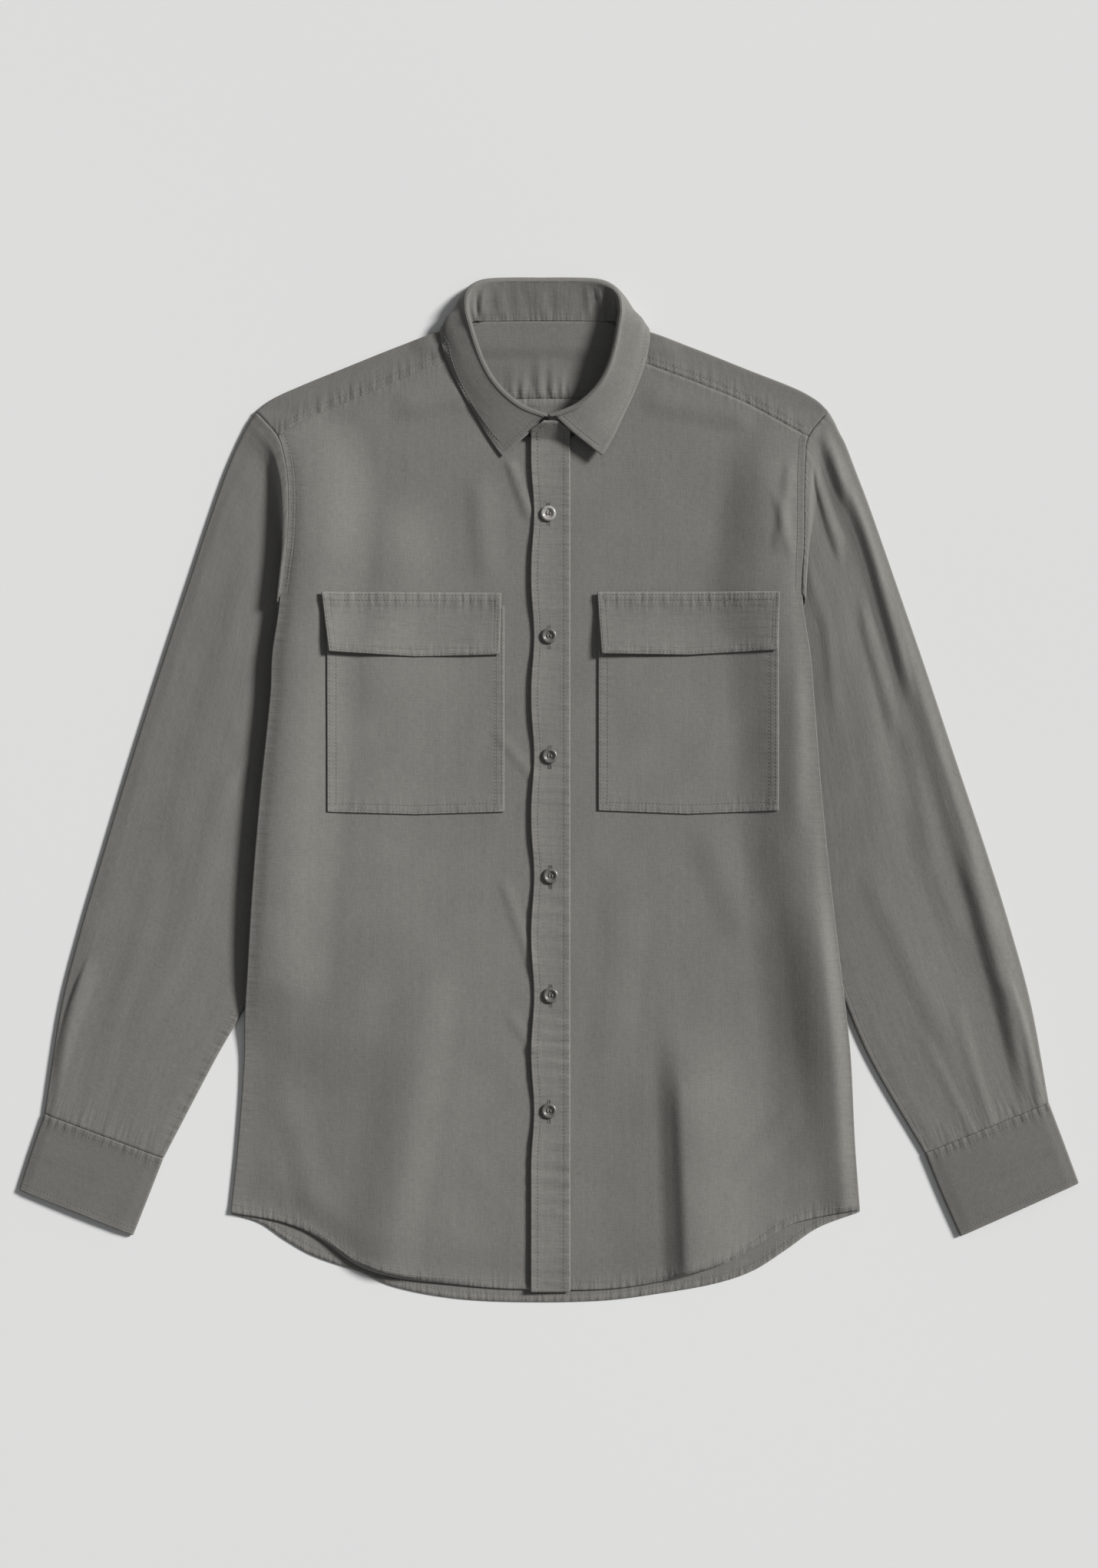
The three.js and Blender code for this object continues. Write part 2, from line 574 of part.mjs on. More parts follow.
// Tube of cloth that lies flat: a ring of middle points for each section, from the outer fold across
// the upper cloth to the inner fold and back across the lower cloth
function tube(rows, sections, thick, armhole) {
  const across = steps([0, 0.012, 0.09, 0.24, 0.55, 0.88, 0.988, 1], [1, 2, 2, 3, 3, 2, 1]);
  const count = across.length;
  const middle = [];
  const aside = [];
  sections.forEach((at) => {
    const value = (column) => read(rows, "at", column, at);
    const outer = new THREE.Vector2(value("outerX"), value("outerY"));
    const inner = new THREE.Vector2(value("innerX"), value("innerY"));
    const inset = inner.clone().sub(outer).normalize().multiplyScalar(thick / 2);
    outer.add(inset);
    inner.sub(inset);
    const upper = [];
    const lower = [];
    const square = [];
    across.forEach((share) => {
      const point = outer.clone().lerp(inner, share);
      const bend = armhole ? armhole.bend(share) * (1 - smooth(0, sleeveFade, at)) : 0;
      point.x += bend;
      const ends = share === 0 || share === 1;
      const open = ends ? 0 : fold + (thick - cloth) / 2;
      const heights = [
        { share: 0, top: value("rim") },
        { share: 0.09, top: value("rim") },
        { share: 0.24, top: value("foot") },
        { share: 0.55, top: value("crown") },
        { share: 0.88, top: value("dip") },
        { share: 1, top: value("dip") },
      ];
      const flatTop = read(heights, "share", "top", share);
      const held = armhole ? THREE.MathUtils.clamp(value("held"), 0, 1.05) : 0;
      const raised = armhole ? armhole.height(share) : 0;
      const bottom = thick / 2 + held * Math.max(0, raised - cloth / 2);
      const top = Math.max(bottom + 2 * fold, mix(flatTop, raised + 2 * fold, Math.min(held, 1)));
      const nearFold = smooth(0, 0.09, share) * (1 - smooth(0.88, 1, share));
      const crest = Math.max(mix(bottom + 2 * open, top, nearFold), bottom + 2 * open);
      upper.push(new THREE.Vector3(point.x, point.y, ends ? bottom + fold : crest));
      lower.push(new THREE.Vector3(point.x, point.y, bottom));
      const step = 0.01;
      const slope = armhole ? (armhole.bend(share + step) - armhole.bend(share)) / step : 0;
      const line = inner.clone().sub(outer);
      line.x += slope * (1 - smooth(0, sleeveFade, at));
      line.normalize();
      square.push(new THREE.Vector3(-line.y, line.x, 0));
    });
    middle.push([...upper, ...lower.slice(1, count - 1).reverse()]);
    aside.push([...square, ...square.slice(1, count - 1).reverse()]);
  });
  return ringWall(middle, thick, aside);
}

// Closed wall of a tube: rings of middle points, thickened within each section
function ringWall(middle, thick, aside) {
  const rows = middle.length;
  const columns = middle[0].length;
  const positions = [[], []];
  for (let row = 0; row < rows; row += 1) {
    for (let column = 0; column < columns; column += 1) {
      const next = middle[row][(column + 1) % columns];
      const previous = middle[row][(column + columns - 1) % columns];
      const above = middle[Math.min(row + 1, rows - 1)][column];
      const below = middle[Math.max(row - 1, 0)][column];
      const normal = next.clone().sub(previous).cross(above.clone().sub(below)).normalize();
      const along = next.clone().sub(previous);
      along.addScaledVector(aside[row][column], -along.dot(aside[row][column]));
      const push = along.cross(aside[row][column]).normalize();
      const facing = push.dot(normal);
      push.multiplyScalar((Math.sign(facing) * thick) / 2 / Math.max(leastFacing, Math.abs(facing)));
      positions[0].push(onTable(middle[row][column].clone().add(push)));
      positions[1].push(onTable(middle[row][column].clone().sub(push)));
    }
  }
  return closed(positions, rows, columns, () => false, true);
}

// What a sleeve takes over from its armhole: the curve's bend and the height of its lower cloth
function armholeOf(edge, side) {
  const tipX = edge(shoulderTip);
  const levelAt = (share) => mix(shoulderTip, underarm, share);
  return {
    bend: (share) => edge(levelAt(share)) - mix(tipX, edge(underarm), share),
    height: (share) => underHeight(edge(levelAt(share)) - side * 0.5, levelAt(share)),
  };
}

const sleeveSections = [
  0, 0.03, 0.04, 0.05, 0.065, 0.08, 0.11, 0.14, 0.18, 0.22,
  0.3, 0.38, 0.46, 0.56, 0.66, 0.74, 0.82, 0.88, 0.94, 1,
];
add("sleeve_right", tube(leftSleeve, sleeveSections, cloth, armholeOf(leftEdge, -1)));
add("sleeve_left", tube(rightSleeve, sleeveSections, cloth, armholeOf(rightEdge, 1)));
add("cuff_right", tube(leftCuff, [0, 0.5, 1], doubled, null), weaveDark);
add("cuff_left", tube(rightCuff, [0, 0.5, 1], doubled, null), weaveDark);

// Collar: one smooth section curve from the neck seam over the roll to the free edge of the leaf
function collarSection(station) {
  const side = Math.sign(station) || 1;
  const rows = collar.map((row, index) => ({ index, ...row }));
  const mirrored = rows.slice(1).reverse().map((row) => ({ ...row, index: -row.index }));
  const around = [...mirrored, ...rows];
  const value = (column) => read(around, "index", column, Math.abs(station));
  const point = (name, height) => {
    const y = value(`${name}Y`);
    const x = neckMiddle(y) + side * value(`${name}X`);
    return new THREE.Vector3(x, y, height(x, y));
  };
  const given = (name) => () => value(`${name}Z`);
  const onBack = (y) => smooth(neckTurn, neckBack + cloth / 2, y);
  const neck = point("neck", (x, y) => mix(frontHeight(x, y), underHeight(x, neckBack), onBack(y)));
  const roll = point("roll", given("roll"));
  const bulge = point("bulge", given("bulge"));
  const turn = point("turn", given("turn"));
  const onFront = smooth(backLeaf, backLeaf + 1, Math.abs(station));
  const edge = point("edge", (x, y) => value("edgeZ") + onFront * (frontHeight(x, y) + cloth + lying));
  const stand = neck.clone().lerp(roll, 0.5);
  const outwards = bulge.clone().sub(roll).setZ(0).normalize();
  const drop = Math.min(rollRound, (roll.z - cloth) / 5);
  const steep = mix(0.12, 1, smooth(8, 20, roll.z));
  const rollIn = roll.clone().addScaledVector(outwards, -rollRound).setZ(roll.z - rollRound * steep);
  const rollOut = roll.clone().addScaledVector(outwards, rollRound).setZ(roll.z - drop);
  return [neck, stand, rollIn, roll, rollOut, bulge, turn, edge];
}

// Wall of the collar between two places along its section, over the given stations round the neck
function collarWall(stations, places, thick) {
  const middle = [];
  const aside = [];
  const tangents = [];
  stations.forEach((station) => {
    const section = collarSection(station);
    const curve = new THREE.CatmullRomCurve3(section, false, "catmullrom", 0.5);
    const points = places.map((place) => curve.getPoint(place / collarPlaces));
    points.forEach((point) => point.setZ(Math.max(point.z, cloth / 2)));
    middle.push(points);
    tangents.push(places.map((place) => curve.getTangent(place / collarPlaces)));
    const before = collarSection(station - 0.05);
    const after = collarSection(station + 0.05);
    const round = after[3].clone().sub(before[3]);
    round.z = 0;
    round.normalize();
    aside.push(places.map(() => round));
  });
  return wall(middle, thick, { aside, tangents });
}

const standStations = steps([-standEnd, -leafEnd, -8, -2, 2, 8, leafEnd, standEnd], [1, 8, 10, 2, 10, 8, 1]);
const leafStations = standStations.slice(1, -1);
add("collar_stand", collarWall(standStations, steps([0, 1, 2, 2.5, standTop], [1, 1, 1, 1]), cloth));
add("collar_leaf", collarWall(leafStations, steps([leafStart, 4, 5, 6, 7], [2, 2, 2, 2]), cloth));

// Placket strip that covers the opening, from the neck seam to the hem
function placket() {
  const left = placketMiddle - placketWidth / 2;
  const right = placketMiddle + placketWidth / 2;
  const across = steps([0, 1], [4]);
  const up = steps([0, 0.1, 1], [3, 22]);
  const top = neckline[neckline.length - 1].level - 3.6;
  const middle = up.map((share) =>
    across.map((part) => {
      const x = mix(left, right, part);
      const y = mix(frontHem(x) - 1.4, top, share);
      const panelX = Math.abs(x - frontMeets) < 0.5 ? frontMeets : x;
      return new THREE.Vector3(x, y, frontHeight(panelX, Math.max(y, frontHem(x) + 0.1)) + cloth + lying);
    }),
  );
  return wall(middle, cloth);
}
add("placket", placket());

// Patch pocket and its flap, laid on the front
function pocketPieces(pocket) {
  const bag = {
    bottom: (across) => new THREE.Vector2(mix(pocket.inner, pocket.outer, across),
      pocket.bottom + (pocket.point - pocket.bottom) * (1 - Math.abs(2 * across - 1))),
    top: (across) => new THREE.Vector2(mix(pocket.inner, pocket.outer, across), pocket.top),
    left: (up) => new THREE.Vector2(pocket.inner, mix(pocket.bottom, pocket.top, up)),
    right: (up) => new THREE.Vector2(pocket.outer, mix(pocket.bottom, pocket.top, up)),
  };
  const flap = {
    bottom: (across) => new THREE.Vector2(
      mix(pocket.flapInner, pocket.flapOuter, mix(0.01, 0.98, across)),
      mix(pocket.flapInnerLow, pocket.flapOuterLow, across)
        + (pocket.flapPoint - pocket.flapInnerLow) * (1 - Math.abs(2 * across - 1))),
    top: (across) => new THREE.Vector2(mix(pocket.flapInner, pocket.flapOuter, across), pocket.flapTop),
    left: (up) => new THREE.Vector2(
      mix(pocket.flapInner, pocket.flapOuter, 0.01 * (1 - up)),
      mix(pocket.flapInnerLow, pocket.flapTop, up),
    ),
    right: (up) => new THREE.Vector2(
      mix(pocket.flapInner, pocket.flapOuter, 1 - 0.02 * (1 - up)),
      mix(pocket.flapOuterLow, pocket.flapTop, up),
    ),
  };
  const onFront = (layers) => (x, y) => frontHeight(x, y) + layers * (cloth + lying);
  add(`pocket_${pocket.side}`, wall(panel(steps([0, 1], [16]), steps([0, 1], [10]), bag, onFront(1)), cloth));
  add(`flap_${pocket.side}`, wall(panel(steps([0, 1], [16]), steps([0, 1], [4]), flap, onFront(2)), cloth));
}
pockets.forEach(pocketPieces);

// Round button with a raised rim and a hollow middle
function button(place) {
  const radius = buttonWidth / 2;
  const profile = [
    new THREE.Vector2(0, 0),
    new THREE.Vector2(radius * 0.86, 0),
    new THREE.Vector2(radius, buttonThick * 0.45),
    new THREE.Vector2(radius * 0.84, buttonThick),
    new THREE.Vector2(radius * 0.56, buttonThick * 0.62),
    new THREE.Vector2(0, buttonThick * 0.56),
  ];
  const shape = new THREE.LatheGeometry(profile, 14);
  shape.rotateX(Math.PI / 2);
  const top = frontHeight(place.across, place.level) + cloth + lying + cloth / 2;
  shape.translate(place.across, place.level, top + seam);
  return shape;
}
buttons.forEach((place, index) => add(`button_${index + 1}`, button(place), buttonColour, 0.5));

export default shirt;
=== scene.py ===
"""A long-sleeved cotton shirt, buttoned and laid flat on a pale table with its front upwards.

Shapes are worked out in millimetres as whole arrays and become metres when a mesh is made. X runs
across the shirt, Y from the hem to the collar and Z up from the table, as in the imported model.
"""

import bpy
import numpy as np
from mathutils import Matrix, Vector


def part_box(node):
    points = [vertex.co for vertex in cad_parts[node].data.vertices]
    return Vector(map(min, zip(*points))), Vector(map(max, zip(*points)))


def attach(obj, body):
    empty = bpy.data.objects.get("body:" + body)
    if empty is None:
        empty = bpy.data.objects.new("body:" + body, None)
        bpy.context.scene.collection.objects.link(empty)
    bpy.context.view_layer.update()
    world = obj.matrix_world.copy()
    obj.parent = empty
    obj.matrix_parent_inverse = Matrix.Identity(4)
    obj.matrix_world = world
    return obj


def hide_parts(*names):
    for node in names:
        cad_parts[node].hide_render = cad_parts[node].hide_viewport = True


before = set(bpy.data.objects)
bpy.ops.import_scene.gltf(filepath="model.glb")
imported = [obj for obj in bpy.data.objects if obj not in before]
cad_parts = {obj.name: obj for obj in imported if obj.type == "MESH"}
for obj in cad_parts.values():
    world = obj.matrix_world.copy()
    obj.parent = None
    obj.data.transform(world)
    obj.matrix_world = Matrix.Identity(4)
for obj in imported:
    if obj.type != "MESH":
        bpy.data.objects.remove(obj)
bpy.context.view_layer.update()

# Camera and frame: the shirt is seen from straight above the middle of the picture.
MM = 0.001
PICTURE_HEIGHT = 2043  # pixels
PIXEL = 0.62  # millimetres on the table for one pixel
PICTURE_MIDDLE = (0.3, 4.65)
CAMERA_HEIGHT = 2500.0
SENSOR = 36.0

camera_data = bpy.data.cameras.new("camera")
camera_data.sensor_fit = "VERTICAL"
camera_data.sensor_height = SENSOR
camera_data.lens = SENSOR * CAMERA_HEIGHT / (PICTURE_HEIGHT * PIXEL)
camera = bpy.data.objects.new("camera", camera_data)
camera.location = (PICTURE_MIDDLE[0] * MM, PICTURE_MIDDLE[1] * MM, CAMERA_HEIGHT * MM)
bpy.context.scene.collection.objects.link(camera)
bpy.context.scene.camera = camera
bpy.context.scene.view_settings.view_transform = "Standard"

# Light: one broad soft lamp far off to the upper right, low enough to draw the folds, and an even sky.
LAMP_AZIMUTH = 27.0  # degrees from +X towards +Y
LAMP_ELEVATION = 31.0
LAMP_SPREAD = 13.0
LAMP_STRENGTH = 4.35
SKY = 0.19

lamp_data = bpy.data.lights.new("lamp", "SUN")
lamp_data.angle = np.radians(LAMP_SPREAD)
lamp_data.energy = LAMP_STRENGTH
lamp_data.color = (1.0, 0.995, 0.985)
lamp = bpy.data.objects.new("lamp", lamp_data)
lamp.rotation_euler = (0.0, np.radians(90 - LAMP_ELEVATION), np.radians(LAMP_AZIMUTH))
bpy.context.scene.collection.objects.link(lamp)
sky = bpy.data.worlds.new("sky")
sky.use_nodes = True
sky.node_tree.nodes["Background"].inputs["Color"].default_value = (0.97, 0.985, 1.0, 1.0)
sky.node_tree.nodes["Background"].inputs["Strength"].default_value = SKY
bpy.context.scene.world = sky


# Table top: a smooth pale grey board that the shirt is photographed on, not part of the shirt.
class Signal:
    """One output of a shader node. Operators on it add Math nodes, and node() adds any other kind."""

    def __init__(self, tree, socket=None):
        self.tree = tree
        self.socket = socket

    def node(self, kind, settings, sockets, output=0):
        """Adds a node: its settings first, then the values or links of its sockets."""
        made = self.tree.nodes.new(kind)
        for name, value in settings.items():
            setattr(made, name, value)
        for name, value in sockets.items():
            if isinstance(value, Signal):
                self.tree.links.new(value.socket, made.inputs[name])
            else:
                made.inputs[name].default_value = value
        return Signal(self.tree, made.outputs[output] if made.outputs else None)

    def math(self, operation, *values):
        return self.node("ShaderNodeMath", {"operation": operation}, dict(enumerate(values)))

    def __add__(self, other):
        return self.math("ADD", self, other)

    def __sub__(self, other):
        return self.math("SUBTRACT", self, other)

    def __rsub__(self, other):
        return self.math("SUBTRACT", other, self)

    def __mul__(self, other):
        return self.math("MULTIPLY", self, other)

    def __truediv__(self, other):
        return self.math("DIVIDE", self, other)

    __radd__ = __add__
    __rmul__ = __mul__

    def noise(self, scales, detail=2.0, shift=0.0):
        """Noise between 0 and 1 over this vector, scaled by its own factor along each axis."""
        scaled = self.node("ShaderNodeVectorMath", {"operation": "MULTIPLY"}, {0: self, 1: scales})
        moved = self.node("ShaderNodeVectorMath", {"operation": "ADD"}, {0: scaled, 1: (shift, shift, shift)})
        return self.node("ShaderNodeTexNoise", {}, {"Vector": moved, "Scale": 1.0, "Detail": detail})

    def bell(self, centre, width):
        """One at the centre, falling smoothly to nothing a few widths away."""
        offset = (self - centre) / width
        return self.math("EXPONENT", offset * offset * -1.0)

    def tint(self, colour, darkest, lightest):
        """This colour times a grey between the darkest and the lightest, by the signal."""
        dark = [channel * darkest for channel in colour] + [1.0]
        light = [channel * lightest for channel in colour] + [1.0]
        return self.node("ShaderNodeMix", {"data_type": "RGBA"}, {0: self, 6: dark, 7: light}, 2)


def finish_material(name, make):
    """A material whose Principled shader gets the values and links that make(start) returns."""
    material = bpy.data.materials.new(name)
    material.use_nodes = True
    shader = material.node_tree.nodes["Principled BSDF"]
    for socket, value in make(Signal(material.node_tree)).items():
        if isinstance(value, Signal):
            material.node_tree.links.new(value.socket, shader.inputs[socket])
        else:
            shader.inputs[socket].default_value = value
    return material


def table_top(start):
    """Pale grey with a barely uneven tone."""
    place = start.node("ShaderNodeTexCoord", {}, {}, 3)
    tone = place.noise((1.1, 1.1, 1.1), 1.0)
    return {"Base Color": tone.tint((0.80, 0.80, 0.80), 0.98, 1.02), "Roughness": 0.85}


TABLE_HALF = 6.0
TABLE_LEVEL = -0.0002
board = bpy.data.meshes.new("table_top")
board.from_pydata([(-TABLE_HALF, -TABLE_HALF, TABLE_LEVEL), (TABLE_HALF, -TABLE_HALF, TABLE_LEVEL),
                   (TABLE_HALF, TABLE_HALF, TABLE_LEVEL), (-TABLE_HALF, TABLE_HALF, TABLE_LEVEL)],
                  [], [(0, 1, 2, 3)])
board.materials.append(finish_material("pale_board", table_top))
table_piece = bpy.data.objects.new("table_top", board)
bpy.context.scene.collection.objects.link(table_piece)


# Back: one panel of washed cotton, from the curved shirt-tail hem up to the yoke. It lies on the
# table, raised at its sides by the sleeves that are tucked under them. Left and right in the tables
# are those of the picture, and the names of pieces have the wearer's.
CLOTH = 1.1  # wall of a single cloth
DOUBLED = 1.3  # wall of a doubled one
LOWEST = 0.6  # middle of a cloth that lies on the table
LAYER = 1.7  # from the middle of one cloth up to the middle of the next
SEAM = 0.3  # gap between two sewn cloths
LOFT = 2.2  # air between the back and the fronts
FOLD = 1.2  # half the space between the two layers of a fold
SIDE_ROLL = 12  # a raised side is highest this far in from its edge
SIDE_FOOT = 72  # and is back on the table this far in
SIDE_TAPER = 40
HEM_TAPER = 35
LEAF_LEVEL = 358  # from here up, the back lies on the collar leaf that is folded under it
LEAF_FADE = 12
LEAF_HALF = 94
LEAF_SLOPE = 18
COLLAR_TOP = 409
COLLAR_LEAN = 0.06
NECK_SLANT = -5.5
HEM_LEVEL = -342
UNDERARM = 156
SHOULDER_TIP = 305.7
FRONT_YOKE_END = 285
BACK_YOKE_END = 272
SIDE_BREAK = 0.78  # share of a panel's length that lies below the underarm
SEAM_RISE = 44
HEM_STITCH = 5.5  # distances of the rows of stitches from an edge
EDGE_STITCH = 5.5
BAND_STITCH = 5
CLOSE_STITCH = 1.6
STITCH_PITCH = 2.9
STITCH_THICK = 0.22
COTTON = (0.186, 0.181, 0.167)


def table(columns, rows):
    """Named columns of a short table, each an array with one value for each row."""
    return dict(zip(columns.split(), np.array(rows, float).T))


OUTLINE = table("level left right left_lift right_lift", [
    [-342, -256.1, 250.9, 0, 0],
    [-284, -250.2, 246.3, 0, 5],
    [-218, -245.3, 242.7, 1, 10],
    [-181, -244.4, 239, 5.5, 12],
    [-150, -242, 235.3, 12, 12],
    [-84, -237.8, 227.4, 15.6, 11.5],
    [-8, -231.6, 219.6, 16.4, 10.5],
    [77, -223, 213, 16.4, 10],
    [109, -221.5, 210.3, 16.4, 10],
    [141, -216.8, 205.2, 16.4, 10],
    [156, -215.3, 203.9, 16.4, 10],
    [171, -213.4, 204, 16.2, 10],
    [204, -209.6, 205.2, 15.2, 9.5],
    [247, -209.4, 205.6, 12, 7.5],
    [268, -212.4, 206.4, 9, 5.5],
    [285, -217.9, 209, 5.4, 3.5],
    [306, -235.5, 225.1, 0.4, 0.4],
])
HEMS = table("across front back", [
    [-256.1, -341.2, -342.2],
    [-232, -345, -349.5],
    [-212, -349.5, -363],
    [-190, -359, -375.5],
    [-155, -383, -388],
    [-125, -393, -400.5],
    [-80, -398.5, -409.5],
    [-30, -402.5, -412.8],
    [43, -402.8, -411.8],
    [90, -396.5, -406],
    [135, -384.5, -398],
    [165, -369.5, -388],
    [191, -352.5, -371.5],
    [217, -344.7, -353.5],
    [250.9, -338.7, -340.5],
])
HEM_LEFT, HEM_RIGHT = HEMS["across"][[0, -1]]


def read(rows, key, column, place):
    """Smooth curve through a table: cubic pieces that pass each row at its neighbours' mean slope."""
    keys = rows[key]
    values = rows[column]
    index = np.arange(len(keys))
    before = np.maximum(index - 1, 0)
    after = np.minimum(index + 1, len(keys) - 1)
    slopes = (values[after] - values[before]) / (keys[after] - keys[before])
    row = np.searchsorted(keys[1:-1], place)
    span = keys[row + 1] - keys[row]
    share = np.clip((place - keys[row]) / span, 0, 1)
    square = share**2
    cube = share**3
    start = values[row] * (2 * cube - 3 * square + 1) + slopes[row] * span * (cube - 2 * square + share)
    end = values[row + 1] * (3 * square - 2 * cube) + slopes[row + 1] * span * (cube - square)
    return start + end


def smooth(start, end, value):
    """Rises from 0 to 1 between start and end, level at both."""
    share = np.clip((value - start) / (end - start), 0, 1)
    return share * share * (3 - 2 * share)


def mix(start, end, share):
    return start + (end - start) * share


def steps(stops, counts):
    """Even steps between the given stops, with every stop kept."""
    parts = [np.linspace(start, end, count, endpoint=False)
             for start, end, count in zip(stops, stops[1:], counts)]
    return np.concatenate(parts + [[stops[-1]]])


def left_edge(level):
    return read(OUTLINE, "level", "left", level)


def right_edge(level):
    return read(OUTLINE, "level", "right", level)


def front_hem(across):
    return read(HEMS, "across", "front", across)


def back_hem(across):
    return read(HEMS, "across", "back", across)


def neck_middle(level):
    return NECK_SLANT + (COLLAR_TOP - level) * COLLAR_LEAN


def side_share(inwards):
    """Height of a raised side as a share of its lift: a crest near the edge, then down to the table."""
    return (0.86 + 0.14 * smooth(0, SIDE_ROLL, inwards)) * (1 - smooth(SIDE_ROLL, SIDE_FOOT, inwards))


def under_height(x, y):
    """Middle of the lowest cloth: on the table, over the tucked sleeves, and over the collar's back."""
    left = read(OUTLINE, "level", "left_lift", y) * side_share(x - left_edge(y))
    right = read(OUTLINE, "level", "right_lift", y) * side_share(right_edge(y) - x)
    from_neck = np.abs(x - neck_middle(y))
    beside_leaf = smooth(LEAF_HALF, LEAF_HALF + LEAF_SLOPE, from_neck)
    over_leaf = smooth(LEAF_LEVEL - LEAF_FADE, LEAF_LEVEL, y) * (1 - beside_leaf)
    return LOWEST + left + right + LAYER * over_leaf


def back_seam(x):
    """Yoke seam across the back, an arch that is highest in the middle."""
    left = left_edge(BACK_YOKE_END)
    right = right_edge(BACK_YOKE_END)
    return BACK_YOKE_END + SEAM_RISE * (1 - ((2 * x - left - right) / (right - left)) ** 2)


def side_at(up, end, edge, hem):
    """Points of a side edge: the side seam up to the underarm, then the armhole."""
    corner = hem(edge(HEM_LEVEL))
    below = mix(corner, UNDERARM, up / SIDE_BREAK)
    above = mix(UNDERARM, end - SEAM, (up - SIDE_BREAK) / (1 - SIDE_BREAK))
    level = np.where(up < SIDE_BREAK, below, above)
    return np.stack([edge(level), level], -1)


def patch(across, up, bottom, top, left, right):
    """Points stretched between four edges: both pairs are blended, less the corners counted twice."""
    u = across[None, :, None]
    v = up[:, None, None]
    low = bottom(across)[None]
    high = top(across)[None]
    sides = (1 - u) * left(up)[:, None] + u * right(up)[:, None]
    low_corners = (1 - u) * low[:, :1] + u * low[:, -1:]
    high_corners = (1 - u) * high[:, :1] + u * high[:, -1:]
    corners = (1 - v) * low_corners + v * high_corners
    return (1 - v) * low + v * high + sides - corners


def unit(vectors):
    return vectors / np.maximum(np.linalg.norm(vectors, axis=-1, keepdims=True), 1e-9)


def slope(values, axis, ring):
    """Difference between the two neighbours along an axis, past the join as well on a ring."""
    if ring and axis == 1:
        return np.roll(values, -1, axis) - np.roll(values, 1, axis)
    return np.gradient(values, axis=axis)


def cloth_wall(name, middle, thick, material, weave=None, edge=None, ripple=(0, 0), present=None, ring=False):
    """Closed wall of cloth about a grid of middle points, with a rounded rim along each open edge.

    weave is the place on the cloth in millimetres, edge the distance from the nearest stitched edge,
    and ripple how much the cloth is puckered across and along.
    """
    rows, columns = middle.shape[:2]
    cells = columns if ring else columns - 1
    if present is None:
        present = np.ones((rows - 1, cells), bool)
    normal = unit(np.cross(slope(middle, 1, ring), slope(middle, 0, ring)))
    number = np.arange(rows * columns).reshape(rows, columns)
    right = np.roll(number, -1, 1)
    corners = np.stack([number[:-1, :cells], right[:-1, :cells], right[1:, :cells], number[1:, :cells]], -1)
    quads = corners[present]
    centres = middle.reshape(-1, 3)[quads].mean(1)
    outward = np.zeros((rows * columns, 3))
    for corner in range(4):
        np.add.at(outward, quads[:, corner], middle.reshape(-1, 3)[quads[:, corner]] - centres)
    flat_normal = normal.reshape(-1, 3)
    outward -= flat_normal * (outward * flat_normal).sum(-1, keepdims=True)
    points = middle.reshape(-1, 3)
    positions = np.concatenate([points + flat_normal * thick / 2, points - flat_normal * thick / 2,
                                points + unit(outward) * thick * 0.4])
    positions[:, 2] = np.maximum(positions[:, 2], 0)
    total = rows * columns
    sides = np.concatenate([quads[:, [start, (start + 1) % 4]] for start in range(4)])
    keys = sides.min(1) * total + sides.max(1)
    _, first, count = np.unique(keys, return_index=True, return_counts=True)
    open_sides = sides[first[count == 1]]
    start, end = open_sides.T
    faces = np.concatenate([
        quads,
        quads[:, ::-1] + total,
        np.stack([end, start, start + 2 * total, end + 2 * total], -1),
        np.stack([end + 2 * total, start + 2 * total, start + total, end + total], -1),
    ])
    used, faces = np.unique(faces, return_inverse=True)
    faces = faces.reshape(-1, 4)
    positions = positions[used] * MM
    volume = (positions[faces[:, 0]] * np.cross(positions[faces[:, 1]], positions[faces[:, 2]])).sum()
    volume += (positions[faces[:, 0]] * np.cross(positions[faces[:, 2]], positions[faces[:, 3]])).sum()
    if volume < 0:
        faces = faces[:, ::-1]
    source = used % total
    mesh = mesh_of(name, positions, faces, material)
    if weave is None:
        weave = middle[..., :2]
    if edge is None:
        edge = np.full((rows, columns), 99.0)
    place = np.broadcast_to(weave, (rows, columns, 2)).reshape(-1, 2)[source]
    layer = mesh.uv_layers.new(name="weave")
    layer.data.foreach_set("uv", (place[faces.ravel()] * MM).astype(np.float32).ravel())
    for label, amount in zip(("edge", "ripple_across", "ripple_along"), (edge, *ripple)):
        values = np.broadcast_to(amount, (rows, columns)).reshape(-1)[source]
        mesh.attributes.new(label, "FLOAT", "POINT").data.foreach_set("value", values.astype(np.float32))
    return place_piece(name, mesh)


def mesh_of(name, positions, faces, material):
    """Mesh of points in metres and faces that all have the same number of corners."""
    mesh = bpy.data.meshes.new(name)
    mesh.vertices.add(len(positions))
    mesh.vertices.foreach_set("co", np.asarray(positions, np.float32).ravel())
    mesh.loops.add(faces.size)
    mesh.loops.foreach_set("vertex_index", np.ascontiguousarray(faces, np.int32).ravel())
    mesh.polygons.add(len(faces))
    mesh.polygons.foreach_set("loop_start", np.arange(0, faces.size, faces.shape[1], dtype=np.int32))
    mesh.update(calc_edges=True)
    mesh.polygons.foreach_set("use_smooth", np.ones(len(faces), bool))
    mesh.materials.append(material)
    return mesh


def place_piece(name, mesh):
    """Object at the origin that rides with the shirt's only body."""
    piece = bpy.data.objects.new(name, mesh)
    bpy.context.scene.collection.objects.link(piece)
    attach(piece, "root")
    return piece


